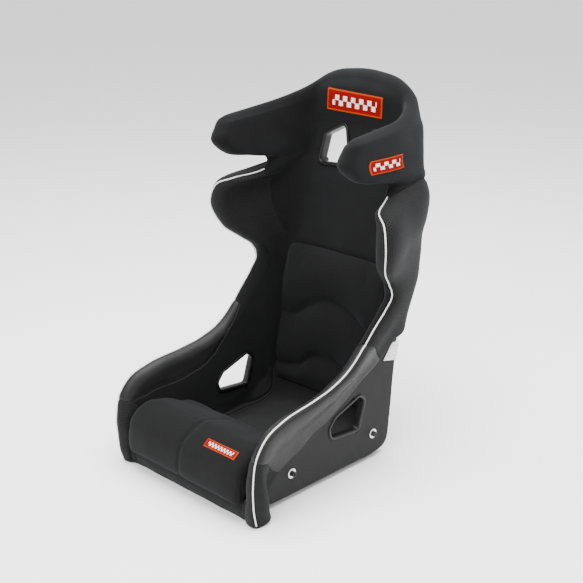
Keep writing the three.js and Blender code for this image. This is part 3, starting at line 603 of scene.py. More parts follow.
# ---- Panels of the cover ---------------------------------------------------------------------------------
def paced(line, n):
    """n (t, u) points evenly spaced on the surface along a (t, u) line."""
    fine = walk(line, 400)
    s = arc_lengths(read_grid(SURFACE, *fine.T))
    at = np.linspace(0, s[-1], n)
    return np.stack([np.interp(at, s, fine[:, k]) for k in range(2)], 1) if s[-1] > 0 else fine[:n]


def length_of(line):
    """A (t, u) line's length on the surface, in millimetres."""
    p = read_grid(SURFACE, *walk(line, 200).T)
    return np.linalg.norm(np.diff(p, axis=0), axis=1).sum()


def coons(bottom, top, left, right, spacing):
    """A grid of (t, u) spanning four lines that meet at their ends."""
    m = int(max(length_of(bottom), length_of(top)) / spacing) + 2
    n = int(max(length_of(left), length_of(right)) / spacing) + 2
    b, t, l, r = paced(bottom, m), paced(top, m), paced(left, n), paced(right, n)
    s, v = np.linspace(0, 1, m)[None, :, None], np.linspace(0, 1, n)[:, None, None]
    ruled = b * (1 - v) + t * v + l[:, None] * (1 - s) + r[:, None] * s
    return ruled - ((b[0] * (1 - s) + b[-1] * s) * (1 - v) + (t[0] * (1 - s) + t[-1] * s) * v)


def between(line, start, end):
    """The part of a (t, u) line from one of its points to another."""
    i, j = line.index(start), line.index(end)
    return line[i : j + 1] if i < j else line[j : i + 1][::-1]


def panel(name, bottom, top, left, right, side=1, whole=False, thickness=SKIN_T, crest=True, spacing=4):
    """One panel of the cover, between its four seams; whole panels span the centre line."""
    grid = coons(bottom, top, left, right, spacing)
    t, u = grid[..., 0], grid[..., 1]
    front, out = on_body(t, u)
    uv = read_grid(arc_map(crest), t, u)
    if whole:
        front, out, uv = both_halves(front, out, uv)
    return closed_sheet(name, front, out, thickness, uv, side)


def centre(a, b):
    """The centre line from one t to another."""
    return [(a, 0.0), (b, 0.0)]


def covers():
    """Every sewn panel of the cover, as {name: object}."""
    pieces = {}

    def sew(name, *seams, **how):
        pieces[name] = panel(name, *seams, **how)

    head_edge = [(HALO_T, HEAD_U), (TOP, HEAD_U)]
    hem_top = [(16.6, 2.15)] + SHOULDER_HEM[1:]
    sew("back_cover", [(12.0, 0.0), (12.0, 1.9)], [(HALO_T, 0.0), (HALO_T, 6.0)], centre(12.0, HALO_T),
        BACK_SEAM + [(HALO_T, 6.0)], whole=True, crest=False)
    sew("head_cover", [(HALO_T, 0.0), (HALO_T, HEAD_U)], [(TOP, 0.0), (TOP, HEAD_U)], centre(HALO_T, TOP),
        head_edge, whole=True, crest=False)
    sew("lip_cover", [(0.0, 0.0), (0.0, 2.6)], [(3.0, 0.0), (3.0, 1.9)], centre(0.0, 3.0), LIP_SEAM,
        whole=True, crest=False, thickness=LIP_T)
    sew("base_cover", [(3.0, 0.0), (3.0, 1.9)], [(12.0, 0.0), (12.0, 1.9)], centre(3.0, 12.0), BASE_SEAM,
        whole=True, crest=False)
    for end, side in SIDES:
        sew("halo_cover_" + end, [(HALO_T, HEAD_U), (HALO_T, 6.0)] + HALO_SEAM[2:],
            [(TOP, HEAD_U), (TOP, 6.0), (TOP, 8.0)], head_edge, [(21.5, 8.0), (TOP, 8.0)], side)
        sew("shoulder_cover_" + end, hem_top, [(HALO_T, 5.99), (HALO_T, 6.0)],
            between(BACK_SEAM, (16.6, 2.15), (21.85, 5.83)) + [(HALO_T, 5.99)],
            [(15.5, 6.0), (HALO_T, 6.0)], side)
        sew("torso_cover_" + end, VINYL_TOP, HALO_SEAM[1:], [(11.3, 6.0), (HALO_T, 6.0)],
            [(12.3, 8.0), (21.5, 8.0)], side)
        sew("wall_cover_" + end, FRONT_INNER, hem_top, BASE_SEAM[1:] + [(16.4, 1.9), (16.6, 2.15)],
            VINYL_INNER + [(15.5, 6.0)], side, spacing=2.5)
        sew("hip_vinyl_" + end, VINYL_FRONT, VINYL_TOP, VINYL_INNER, [(5.1, 8.0), (12.3, 8.0)], side,
            spacing=3)
        sew("front_cover_" + end, [(0.0, 2.6), (0.0, 8.0)], [(4.1, 2.2)] + VINYL_FRONT,
            LIP_SEAM + [(4.1, 2.2)], [(0.0, 8.0), (5.1, 8.0)], side)
    return pieces


def closing_roll(name, t, u_from, bulge, whole, side=1):
    """The padding's rounded end at the first or last rib, from inside the rim over to its outside."""
    row, inward = (0, 3) if t == 0 else (len(T) - 1, -3)
    steps, turns = 90, 12
    inner_u, outer_u = U[(U >= u_from) & (U <= CREST_U)][::-1], U[U >= CREST_U]

    def spread(us):
        p = read_grid(BODY, np.full(len(us), float(t)), us)
        run = unit(p - read_grid(BODY, np.full(len(us), T[row + inward]), us))
        s = arc_lengths(p)
        at = np.linspace(0, s[-1], steps)
        return [np.stack([np.interp(at, s, q[:, k]) for k in range(3)], 1) for q in (p, run)]

    (a, run_a), (b, run_b) = spread(inner_u), spread(outer_u)
    reach = np.minimum(0.62 * np.linalg.norm(a - b, axis=1), bulge / 0.75)[:, None]
    rows = []
    for s in np.linspace(0, 1, turns + 1):
        pull_a, pull_b = a + unit(run_a) * reach, b + unit(run_b) * reach
        rows.append((1 - s) ** 3 * a + 3 * s * (1 - s) ** 2 * pull_a + 3 * s**2 * (1 - s) * pull_b + s**3 * b)
    rows = np.stack(rows)
    if whole:
        rows = np.concatenate([rows, (rows * (-1, 1, 1))[:, -2::-1]], axis=1)
    out = unit(np.cross(np.gradient(rows, axis=1), np.gradient(rows, axis=0)))
    beyond = unit((BODY[row] - BODY[row + inward]).mean(axis=0))
    along_edge, over_edge = np.arange(rows.shape[1])[None, :] * 5.0, np.arange(turns + 1)[:, None] * 4.0
    uv = np.stack(np.broadcast_arrays(along_edge, over_edge), -1)
    if (out * beyond).sum(-1).mean() < 0:
        rows, uv = rows[::-1], uv[::-1]
        out = -out[::-1]
    return closed_sheet(name, rows, out, 2.0, uv, side)


# ---- Loose pads, swollen by cloth simulation ---------------------------------------------------------------
SWELL_FRAMES = 20


def swell(thing, pressure, cap, pinned=()):
    """Blows a closed mesh up as cloth, moves no point further than cap metres, and leaves plain geometry."""
    group = thing.vertex_groups.new(name="pinned")
    group.add([int(i) for i in pinned], 1.0, "REPLACE")
    cloth = thing.modifiers.new("swell", "CLOTH")
    cloth.settings.quality = 5
    cloth.settings.mass = 0.3
    cloth.settings.use_pressure = True
    cloth.settings.uniform_pressure_force = pressure
    cloth.settings.effector_weights.gravity = 0
    cloth.settings.tension_stiffness = 15
    cloth.settings.compression_stiffness = 15
    cloth.settings.bending_stiffness = 0.5
    if len(pinned):
        cloth.settings.vertex_group_mass = "pinned"
    cloth.point_cache.frame_start = 1
    cloth.point_cache.frame_end = SWELL_FRAMES
    scene = bpy.context.scene
    for number in range(1, SWELL_FRAMES + 1):
        scene.frame_set(number)
    shown = thing.evaluated_get(bpy.context.evaluated_depsgraph_get()).to_mesh()
    count = len(thing.data.vertices)
    rest, moved = np.empty(count * 3), np.empty(count * 3)
    thing.data.vertices.foreach_get("co", rest)
    shown.vertices.foreach_get("co", moved)
    thing.evaluated_get(bpy.context.evaluated_depsgraph_get()).to_mesh_clear()
    step = (moved - rest).reshape(-1, 3)
    size = np.linalg.norm(step, axis=1, keepdims=True)
    step *= np.minimum(1, cap / np.maximum(size, 1e-9))
    thing.modifiers.remove(cloth)
    scene.frame_set(1)
    thing.data.vertices.foreach_set("co", (rest.reshape(-1, 3) + step).ravel())
    thing.data.update()


def subdivide(thing):
    smooth = thing.modifiers.new("smooth", "SUBSURF")
    smooth.levels = 1
    smooth.render_levels = 1


# The leg cushion's outline from the side (y, z), from the rear top round the front to the underside.
LEG_OUTLINE = [
    (-118, 92), (-118, 120), (-126, 130), (-160, 141), (-205, 157), (-245, 164), (-271, 156), (-291, 142),
    (-306, 121), (-312, 94), (-314, 68), (-313, 48), (-308, 40), (-302, 44), (-300, 58), (-292, 67),
    (-262, 71), (-200, 77), (-124, 85),
]
LEG_MIDDLE = (-225, 108)
LEG_WIDTHS = ((-313, 209), (-300, 210), (-264, 204), (-204, 197), (-116, 190))  # (y, half width)
LEG_ENDS = np.array([0.0, 0.2, 0.4, 0.6, 0.75, 0.85, 0.91, 0.95, 0.98, 0.995, 0.9995])


def closed_curve(points, n):
    """n points evenly spaced round a Catmull-Rom loop through the points."""
    p = np.array(points, float)
    out = []
    for i in range(len(p)):
        a, b, c, d = p[i - 1], p[i], p[(i + 1) % len(p)], p[(i + 2) % len(p)]
        for w in np.linspace(0, 1, 8, endpoint=False):
            squared = (2 * a - 5 * b + 4 * c - d) * w**2
            out.append(0.5 * (2 * b + (c - a) * w + squared + (3 * b - a - 3 * c + d) * w**3))
    return even(np.array(out), n)


def leg_cushion():
    """A wedge cushion with a sewn centre seam, fuller at the front than its CAD solid."""
    outline = closed_curve(LEG_OUTLINE, 72)
    middle = np.array(LEG_MIDDLE, float)
    stations = np.concatenate([-LEG_ENDS[::-1], LEG_ENDS[1:]])
    rows = []
    for s in stations:
        shrink = (1 - abs(s) ** 26) ** (1 / 3.5)
        ring = middle + (outline - middle) * shrink
        half = np.interp(ring[:, 0], [w[0] for w in LEG_WIDTHS], [w[1] for w in LEG_WIDTHS])
        rows.append(np.column_stack([half * s, ring]))
    faces = grid_faces(len(rows), len(outline), closed=True).tolist()
    last = (len(rows) - 1) * len(outline)
    faces += [list(range(len(outline)))[::-1], list(range(last, last + len(outline)))]
    cushion = make("leg_cushion_pad", np.array(rows).reshape(-1, 3), faces)
    remesh(cushion, 0.005)
    swell(cushion, 2.0, 0.004)
    p = coordinates(cushion)
    across = np.abs(p[:, 0])
    top = np.maximum(smoothstep(90, 110, p[:, 2]), smoothstep(-305, -310, p[:, 1]))
    seam = np.clip(1 - across / 7, 0, 1) ** 2 * 4.0 * top
    toward_middle = unit(np.column_stack([0 * across, LEG_MIDDLE[0] - p[:, 1], LEG_MIDDLE[1] - p[:, 2]]))
    p += toward_middle * (seam - 0.5 * waves(p, 60, 21) * top)[:, None]
    replace_coordinates(cushion, p)
    subdivide(cushion)
    return cushion


def coordinates(thing):
    """The mesh's points in the section frame, in millimetres."""
    p = np.empty(len(thing.data.vertices) * 3)
    thing.data.vertices.foreach_get("co", p)
    return p.reshape(-1, 3) / MM - (0, ORIGIN_Y, 0)


def replace_coordinates(thing, points):
    thing.data.vertices.foreach_set("co", ((points + (0, ORIGIN_Y, 0)) * MM).ravel())
    thing.data.update()


def remesh(thing, size):
    """Rebuilds a closed mesh from even cells, size metres across."""
    modifier = thing.modifiers.new("remesh", "REMESH")
    modifier.mode = "VOXEL"
    modifier.voxel_size = size
    modifier.use_smooth_shade = True
    graph = bpy.context.evaluated_depsgraph_get()
    thing.data = bpy.data.meshes.new_from_object(thing.evaluated_get(graph))
    thing.modifiers.clear()
    thing.data.polygons.foreach_set("use_smooth", np.ones(len(thing.data.polygons), bool))


# The lumbar pad's sewn lines, as (u, t) from the centre out, and how high the pad stands on each.
LUMBAR_BOTTOM = [(0.0, 12.04), (1.0, 12.04), (1.42, 12.06)]
LUMBAR_LOW = [
    (0.0, 13.15), (0.12, 13.15), (0.25, 13.05), (0.44, 12.75), (0.7, 12.65), (1.0, 12.6), (1.42, 12.6),
]
LUMBAR_HIGH = [
    (0.0, 14.7), (0.12, 14.66), (0.25, 14.55), (0.4, 14.4), (0.52, 14.22), (0.62, 14.08), (0.8, 14.0),
    (1.42, 14.0),
]
LUMBAR_TOP = [(0.0, 16.3), (0.5, 16.28), (1.0, 16.22), (1.25, 16.15), (1.42, 16.1)]
LUMBAR_SIDE_U = 1.42
LUMBAR_HEIGHTS = (3.0, 4.5, 4.5, 8.0)
LUMBAR_FULLNESS = (0.9, 0.45, 0.45)
LUMBAR_T, LUMBAR_LIFT = 22.0, 2.0


def lumbar_pad():
    """Three padded rolls between a border and two sewn channels that sweep up to the centre."""
    lines = [LUMBAR_BOTTOM, LUMBAR_LOW, LUMBAR_HIGH, LUMBAR_TOP]
    share = np.linspace(-1, 1, 75)
    u = np.abs(share) * LUMBAR_SIDE_U
    steps = (9, 16, 16)
    rows_t, heights, pinned_rows = [], [], []
    for k, n in enumerate(steps):
        low, high = (np.interp(u, *zip(*line)) for line in (lines[k], lines[k + 1]))
        for v in np.linspace(0, 1, n, endpoint=k == 2):
            if v == 0 and k > 0:
                pinned_rows.append(len(rows_t))
            ends = LUMBAR_HEIGHTS[k] * (1 - v) + LUMBAR_HEIGHTS[k + 1] * v
            rows_t.append(low * (1 - v) + high * v)
            heights.append(ends + (LUMBAR_T - ends) * (4 * v * (1 - v)) ** LUMBAR_FULLNESS[k])
    t = np.array(rows_t)
    edge = 0.25 + 0.75 * np.sqrt(np.clip(1 - np.clip((np.abs(share) - 0.93) / 0.07, 0, 1) ** 2, 0, 1))
    height = np.array(heights)[:, None] * edge[None, :]
    base, out = (mirrored(values, share < 0) for values in on_body(t, np.broadcast_to(u, t.shape)))
    lift = LUMBAR_LIFT + 6.0 * smoothstep(15.5, 16.2, t)[..., None]
    top = base + out * (lift + 1.0 + height[..., None])
    bottom = base + out * lift
    n, m = t.shape
    uv = np.stack(np.broadcast_arrays(share * 150, np.arange(n)[:, None] * 6.0), -1).reshape(-1, 2)
    faces = grid_faces(n, m)
    walls = [(b, a, a + n * m, b + n * m) for a, b in sorted(rim_edges(faces))]
    everything = faces.tolist() + (faces[:, ::-1] + n * m).tolist() + walls
    points = np.concatenate([top.reshape(-1, 3), bottom.reshape(-1, 3)])
    pad = make("lumbar_cushion", points, everything, None, np.concatenate([uv, uv]))
    still = np.zeros((n, m), bool)  # the channels and the border, which stay where they are sewn
    still[pinned_rows] = still[[0, -1]] = True
    still[:, [0, -1]] = True
    underside = range(n * m, 2 * n * m)
    swell(pad, 6.0, 0.008, [*np.flatnonzero(still), *underside])
    subdivide(pad)
    return pad


# ---- Shell ------------------------------------------------------------------------------------------------
def shell_moulding():
    """The moulded shell, one sheet of even thickness, open at the belt slots."""
    t = np.arange(0, SHELL_TOP + 0.01, T_STEP)
    face = outer_face(t)
    out = -grid_normals(face)
    across = arc_lengths(face, axis=1)
    up = arc_lengths(face[:, ZONES[0] // 2])[:, None] + 0 * across
    face, out, uv = both_halves(face, out, np.stack([across, up], -1))
    return closed_sheet("shell_moulding", face[:, ::-1], out[:, ::-1], SHELL_T, uv[:, ::-1])


# ---- Slot bezels and fasteners -----------------------------------------------------------------------
def bezel(name, outline, frame_at, inner, outer):
    """A plastic lining through a belt slot, with a rolled flange on each face."""
    origin, axes = frame_at
    profile = [  # (reach past the opening, depth), round the inner flange, the sleeve and the outer flange
        (0.9, inner - 2.6), (3.5, inner - 2.9), (FLANGE - 1.2, inner - 2.3), (FLANGE - 0.2, inner - 1.6),
        (FLANGE, inner - 0.6), (0.0, inner - 0.5), (-0.2, outer + 0.5), (FLANGE, outer + 0.5),
        (FLANGE, outer + 1.6), (FLANGE - 0.8, outer + 2.6), (3.5, outer + 3.1), (0.6, outer + 2.9),
        (-1.6, outer + 1.8), (-2.6, outer - 0.5), (-2.8, (inner + outer) / 2), (-2.6, inner + 0.5),
        (-1.4, inner - 1.5),
    ]
    rings = []
    for offset, depth in profile:
        flat = grown(outline, offset)
        rings.append(origin + flat @ axes[:2] + axes[2] * depth)
    ring = ring_loft(name + "_lining", rings, side=-1 if np.linalg.det(axes) > 0 else 1)
    subdivide(ring)
    return ring


def circle(radius, n=48):
    a = np.linspace(0, tau, n, endpoint=False)
    return np.stack([np.cos(a), np.sin(a)], 1) * radius


def hexagon(radius, n=48):
    return even(circle(radius, 6), n)


def side_rings(side, y, profile):
    """Rings round a side-mount axis from pairs of outline and distance out from the side wall."""
    rings = []
    for loop, x in profile:
        out = np.full(len(loop), side * (SIDE_X + x))
        rings.append(np.column_stack([out, loop[:, 0] + y, loop[:, 1] + MOUNT_Z]))
    return rings


def fasteners():
    """Each side-mount's washer and socket-head bolt."""
    washer = [
        (circle(6.9), 0.2), (circle(12.2), 0.2), (circle(12.5), 0.4), (circle(12.5), 1.3),
        (circle(12.2), 1.6), (circle(7.2), 1.6), (circle(6.9), 1.4),
    ]
    head = [
        (circle(4.0), 1.7), (circle(6.3), 1.7), (circle(6.5), 2.0), (circle(6.5), 8.9),
        (circle(6.2), 9.6), (circle(5.6), 9.8), (hexagon(3.9), 9.8), (hexagon(3.6), 9.3),
        (hexagon(3.6), 5.6), (hexagon(0.2), 5.2), (circle(0.2), 1.9),
    ]
    pieces = {}
    for end, side in SIDES:
        for row, y in zip(("front", "rear"), BOLT_Y):
            for kind, profile in (("washer", washer), ("bolt", head)):
                name = f"{kind}_{row}_{end}"
                pieces[name] = ring_loft(name + "_turned", side_rings(side, y, profile), side)
    return pieces


# ---- Piping, stitches and patches --------------------------------------------------------------------
def crest_line(t0, t1, lift, n):
    """n points along the rim's crest, lifted off the cover."""
    p, out = on_body(np.linspace(t0, t1, n), np.full(n, CREST_U))
    return p + out * lift


PIPED = (0.15, 21.9)  # t, from the front's foot to the notch under the halo
PIPING_LIFT = 1.3


def piping(end, side):
    path = crest_line(*PIPED, PIPING_LIFT, 420) * (side, 1, 1)
    return tube("rim_piping_" + end, path, PIPING_R, up=(side, 0, 0.2))


def stitches(name, line, side, step=6.0, length=4.2, radius=0.45):
    """A row of sewn stitches lying along a (t, u) line."""
    total = length_of(line)
    count = int(total / step)
    tu = paced(line, count * 6 + 1)
    p, out = on_body(*tu.T)
    p, out = (p + out * 0.25) * (side, 1, 1), out * (side, 1, 1)
    points, faces = [], []
    for k in range(count):
        a, b = p[k * 6], p[k * 6 + 4]
        n = out[k * 6 + 2]
        run = unit(b - a)
        across = unit(np.cross(run, n))
        for s, fat, sink in ((0, 0.5, -0.5), (0.25, 1, 0.1), (0.75, 1, 0.1), (1, 0.5, -0.5)):
            for angle in np.linspace(0, tau, 6, endpoint=False):
                ring = (across * cos(angle) + n * sin(angle)) * radius * fat
                points.append(a + (b - a) * s + ring + n * sink)
        base = k * 24
        quads = grid_faces(4, 6, closed=True) + base
        faces += [q[::-1] for q in quads.tolist()]
        faces += [list(range(base, base + 6)), list(range(base + 18, base + 24))[::-1]]
    return make(name, points, faces)


PATCH_T, PATCH_LIFT = 1.4, 0.5


def patch(name, corners, side):
    """A woven patch laid over one half's cover, its corners given as (t, u)."""
    tu = quad(corners, 70, 30)
    p, out = on_body(tu[..., 0], tu[..., 1])
    return laid_patch(name, p, out, side, PATCH_LIFT, PATCH_T)


def laid_patch(name, p, out, side, lift, thickness):
    """The patch itself: a merrowed edge round a flat woven field, with 0 to 1 cloth coordinates."""
    n, m = p.shape[:2]
    width = np.linalg.norm(p[n // 2, -1] - p[n // 2, 0])
    height = np.linalg.norm(p[-1, m // 2] - p[0, m // 2])
    x, y = np.meshgrid(np.linspace(0, width, m), np.linspace(0, height, n))
    edge = np.minimum(np.minimum(x, width - x), np.minimum(y, height - y))
    merrow = 0.9 * np.sqrt(np.clip(1 - ((edge - 1.7) / 1.7) ** 2, 0, 1))
    proud = lift + merrow + 0.35 * smoothstep(2.0, 3.4, edge)
    front = p + out * proud[..., None]
    dv, du = np.gradient(front, axis=0), np.gradient(front, axis=1)
    normal = unit(np.cross(du, dv))
    normal *= np.sign((normal * out).sum(-1).mean())
    uv = np.stack([x / width, y / height], -1)
    if (np.cross(du, dv) * out).sum(-1).mean() < 0:
        front, normal, uv = front[::-1], normal[::-1], uv[::-1]
    return closed_sheet(name, front, normal, thickness + 0 * proud + proud - lift, uv, side)


def head_patch():
    """The patch's corners are set on the head pad by x and height, then laid on its face."""
    corners = [(-107, 825), (75, 823), (83, 877), (-98, 882)]
    xz = quad(corners, 90, 34)
    x, z = np.abs(xz[..., 0]), xz[..., 1]
    rows = T > 26.3
    u = np.interp(x, BODY[rows][20, :60, 0], U[:60])
    for _ in range(3):
        columns = np.interp(u, U, np.arange(len(U))).round().astype(int)
        t = np.array([np.interp(zz, BODY[rows, c, 2], T[rows]) for zz, c in zip(z.ravel(), columns.ravel())])
        t = t.reshape(z.shape)
        row = (t / T_STEP).round().astype(int)
        u = np.array([np.interp(xx, BODY[r, :60, 0], U[:60]) for xx, r in zip(x.ravel(), row.ravel())])
        u = u.reshape(x.shape)
    p, out = (mirrored(values, xz[..., 0] < 0) for values in on_body(t, u))
    return laid_patch("head_patch_woven", smooth(p), smooth(out), 1, PATCH_LIFT, PATCH_T)


def smooth(grid, passes=3):
    """Evens out a grid of vectors. Its border is evened only along itself."""
    for _ in range(passes):
        inner = (grid[:-2] + 2 * grid[1:-1] + grid[2:]) / 4
        grid = np.concatenate([grid[:1], inner, grid[-1:]])
        inner = (grid[:, :-2] + 2 * grid[:, 1:-1] + grid[:, 2:]) / 4
        grid = np.concatenate([grid[:, :1], inner, grid[:, -1:]], axis=1)
    return grid


def cushion_patch(cushion):
    """The patch on the leg cushion's front edge, dropped onto the swollen cushion."""
    corners = [(62, -291, 144.6), (166, -291, 144.6), (166, -274, 157.4), (62, -274, 157.4)]
    flat = quad(corners, 60, 18)
    out = unit(np.array([0, -0.55, 0.83]))
    graph = bpy.context.evaluated_depsgraph_get()
    solid = cushion.evaluated_get(graph)
    p = np.empty(flat.shape)
    for i, j in np.ndindex(flat.shape[:2]):
        start = (flat[i, j] + out * 40 + (0, ORIGIN_Y, 0)) * MM
        hit, where, _, _ = solid.ray_cast(Vector(start), Vector(-out))
        p[i, j] = np.array(where) / MM - (0, ORIGIN_Y, 0) if hit else flat[i, j]
    p = smooth(p)
    return laid_patch("cushion_patch_woven", p, np.broadcast_to(out, p.shape), 1, 0.3, 1.2)


# ---- Materials ---------------------------------------------------------------------------------------
class Look:
    """A node material under construction."""

    def __init__(self, name, **shader):
        self.material = bpy.data.materials.new(name)
        self.material.use_nodes = True
        self.nodes, self.links = self.material.node_tree.nodes, self.material.node_tree.links
        self.shader = self.nodes["Principled BSDF"]
        for socket, value in shader.items():
            self.set(self.shader, socket.replace("_", " "), value)

    def set(self, node, socket, value):
        target = node.inputs[socket]
        if isinstance(value, bpy.types.NodeSocket):
            self.links.new(value, target)
        elif isinstance(value, tuple) and len(value) == 3 and target.type == "RGBA":
            target.default_value = (*value, 1)
        else:
            target.default_value = value

    def add(self, kind, sockets=None, **settings):
        node = self.nodes.new("ShaderNode" + kind)
        for key, value in settings.items():
            setattr(node, key, value)
        for socket, value in (sockets or {}).items():
            self.set(node, socket, value)
        return node

    def math(self, operation, a, b=0.0, clamp=False):
        return self.add("Math", {0: a, 1: b}, operation=operation, use_clamp=clamp).outputs[0]

    def noise(self, scale, detail=3.0, roughness=0.5):
        """Noise in bumps per millimetre over the object's own space."""
        sockets = {"Vector": self.space(), "Scale": scale, "Detail": detail, "Roughness": roughness}
        return self.add("TexNoise", sockets).outputs[0]

    def space(self):
        """Object coordinates in millimetres."""
        metres = self.add("TexCoord").outputs["Object"]
        return self.add("VectorMath", {0: metres, 3: 1 / MM}, operation="SCALE").outputs[0]

    def cloth(self):
        """The mesh's own cloth coordinates."""
        return self.add("TexCoord").outputs["UV"]

    def spread(self, value, low, high, a=0.0, b=1.0):
        sockets = {"Value": value, "From Min": low, "From Max": high, "To Min": a, "To Max": b}
        return self.add("MapRange", sockets, clamp=True).outputs[0]

    def mix(self, factor, a, b):
        node = self.add("Mix", data_type="RGBA")
        self.set(node, 0, factor)
        self.set(node, 6, a)
        self.set(node, 7, b)
        return node.outputs[2]

    def colour(self, factor, dark, light):
        self.set(self.shader, "Base Color", self.mix(factor, dark, light))

    def rough(self, factor, low, high):
        self.set(self.shader, "Roughness", self.spread(factor, 0, 1, low, high))

    def bump(self, height, depth_mm, strength=1.0, under=None):
        sockets = {"Height": height, "Distance": depth_mm * MM, "Strength": strength}
        if under:
            sockets["Normal"] = under
        normal = self.add("Bump", sockets).outputs[0]
        self.set(self.shader, "Normal", normal)
        return normal

    def stripes(self, axis_value, pitch):
        """A cosine of the given pitch, from 0 to 1."""
        wave = self.math("COSINE", self.math("MULTIPLY", axis_value, tau / pitch))
        return self.spread(wave, -1, 1)

    def parts(self, vector):
        node = self.add("SeparateXYZ", {0: vector})
        return node.outputs[0], node.outputs[1], node.outputs[2]


def hex_dimples(look, pitch):
    """Three cosines at 60 degrees: 1 in the middle of each cell's dimple, 0 on the yarn between."""
    x, y, _ = look.parts(look.cloth())
    total = None
    for k in range(3):
        angle = k * pi / 3
        line = look.math("ADD", look.math("MULTIPLY", x, cos(angle)), look.math("MULTIPLY", y, sin(angle)))
        wave = look.math("COSINE", look.math("MULTIPLY", line, tau / (pitch * 0.866)))
        total = wave if total is None else look.math("ADD", total, wave)
    return look.spread(total, 0.3, 2.7)


LINT = (0.75, 0.78, 0.85)  # the cool tint of the fine fibres on black cloth


def black_knit():
    look = Look("black_knit", Specular_IOR_Level=0.1, Sheen_Weight=0.05, Sheen_Roughness=0.5, Sheen_Tint=LINT)
    broad, fine = look.noise(0.012, 4), look.noise(0.9, 2)
    look.colour(look.math("ADD", look.math("MULTIPLY", broad, 0.6), look.math("MULTIPLY", fine, 0.4)),
                (0.0022, 0.0022, 0.0023), (0.0062, 0.0062, 0.0065))
    look.rough(fine, 0.82, 0.98)
    x, y, _ = look.parts(look.cloth())
    loops = look.math("MULTIPLY", look.stripes(x, 1.3), look.stripes(y, 1.0))
    slub = look.bump(look.noise(0.16, 3), 0.35, 0.5)
    look.bump(loops, 0.25, 0.7, slub)
    return look.material


def open_mesh():
    fibres = {"Sheen_Weight": 0.04, "Sheen_Roughness": 0.45, "Sheen_Tint": LINT}
    look = Look("open_mesh", Specular_IOR_Level=0.12, **fibres)
    dimple = hex_dimples(look, 5.6)
    worn = look.noise(0.02, 4)
    yarn = look.mix(worn, (0.0064, 0.0064, 0.0066), (0.0109, 0.0109, 0.0112))
    look.colour(look.spread(dimple, 0.14, 0.36), yarn, (0.0008, 0.0008, 0.0008))
    look.rough(dimple, 0.72, 0.95)
    yarn_loops = look.bump(look.noise(1.6, 2), 0.15, 0.6)
    look.bump(look.math("SUBTRACT", 1.0, dimple), 1.2, 1.0, yarn_loops)
    return look.material


def cushion_knit(name, yarn_dark, yarn_light):
    """Ribbed mesh, on the leg cushion and, with painted light, on the seat's base: there the yarn is made
    lighter to lift the shade that falls on the base.
    """
    look = Look(name, Specular_IOR_Level=0.1, Sheen_Weight=0.04, Sheen_Roughness=0.5, Sheen_Tint=LINT)
    x, y, z = look.parts(look.space())
    along_run = look.math("ADD", y, look.math("MULTIPLY", z, 0.8))
    columns = look.stripes(x, 3.0)
    rows = look.spread(look.stripes(along_run, 4.0), 0, 1, 0.45, 1)
    cells = look.math("MULTIPLY", columns, rows)
    worn = look.noise(0.016, 4)
    yarn = look.mix(worn, (yarn_dark,) * 3, (yarn_light,) * 3)
    look.colour(look.spread(cells, 0.0, 0.6), (0.0025, 0.0025, 0.0025), yarn)
    look.rough(cells, 0.95, 0.75)
    soft = look.bump(look.noise(0.09, 3), 0.6, 0.5)
    look.bump(cells, 0.5, 0.8, soft)
    return look.material


def bolster_vinyl():
    look = Look("bolster_vinyl", Specular_IOR_Level=0.2)
    broad = look.noise(0.02, 5)
    look.colour(broad, (0.0045, 0.0045, 0.0048), (0.0080, 0.0080, 0.0084))
    look.rough(look.noise(0.05, 4), 0.36, 0.5)
    cells = {"Vector": look.space(), "Scale": 0.75}
    grain = look.add("TexVoronoi", cells, feature="DISTANCE_TO_EDGE").outputs[0]
    creases = look.bump(look.noise(0.045, 5, roughness=0.6), 0.6, 0.35)
    look.bump(look.spread(grain, 0.0, 0.25), 0.12, 0.6, creases)
    return look.material


def shell_laminate():
    look = Look("shell_laminate", Specular_IOR_Level=0.1)
    broad, flecks = look.noise(0.01, 5), look.noise(0.6, 3)
    tone = look.math("ADD", look.math("MULTIPLY", broad, 0.7), look.math("MULTIPLY", flecks, 0.3))
    look.colour(tone, (0.0125, 0.0125, 0.0129), (0.0175, 0.0175, 0.0180))
    look.rough(look.noise(0.06, 4), 0.5, 0.66)
    fibres = look.noise(0.35, 4, roughness=0.7)
    peel = look.bump(look.noise(0.03, 3), 0.8, 0.25)
    look.bump(fibres, 0.1, 0.5, peel)
    return look.material


def bezel_plastic():
    look = Look("bezel_plastic", Specular_IOR_Level=0.25)
    look.colour(look.noise(0.05, 3), (0.003, 0.003, 0.003), (0.006, 0.006, 0.006))
    look.rough(look.noise(0.2, 4), 0.32, 0.5)
    look.bump(look.noise(0.5, 3), 0.05, 0.4)
    return look.material


def bright_steel():
    look = Look("bright_steel", Metallic=1.0)
    look.colour(look.noise(0.12, 4), (0.62, 0.61, 0.59), (0.82, 0.81, 0.79))
    look.rough(look.noise(1.2, 4), 0.18, 0.36)
    _, y, z = look.parts(look.space())
    turned = look.math("ADD", look.math("MULTIPLY", y, y), look.math("MULTIPLY", z, z))
    look.bump(look.stripes(look.math("SQRT", turned), 0.5), 0.02, 0.3)
    return look.material


def black_oxide():
    """Darkened steel, for the bolts and their inserts."""
    look = Look("black_oxide", Metallic=0.8)
    look.colour(look.noise(0.4, 4), (0.02, 0.02, 0.022), (0.05, 0.05, 0.052))
    look.rough(look.noise(1.0, 4), 0.3, 0.5)
    look.bump(look.noise(1.4, 3), 0.03, 0.4)
    return look.material


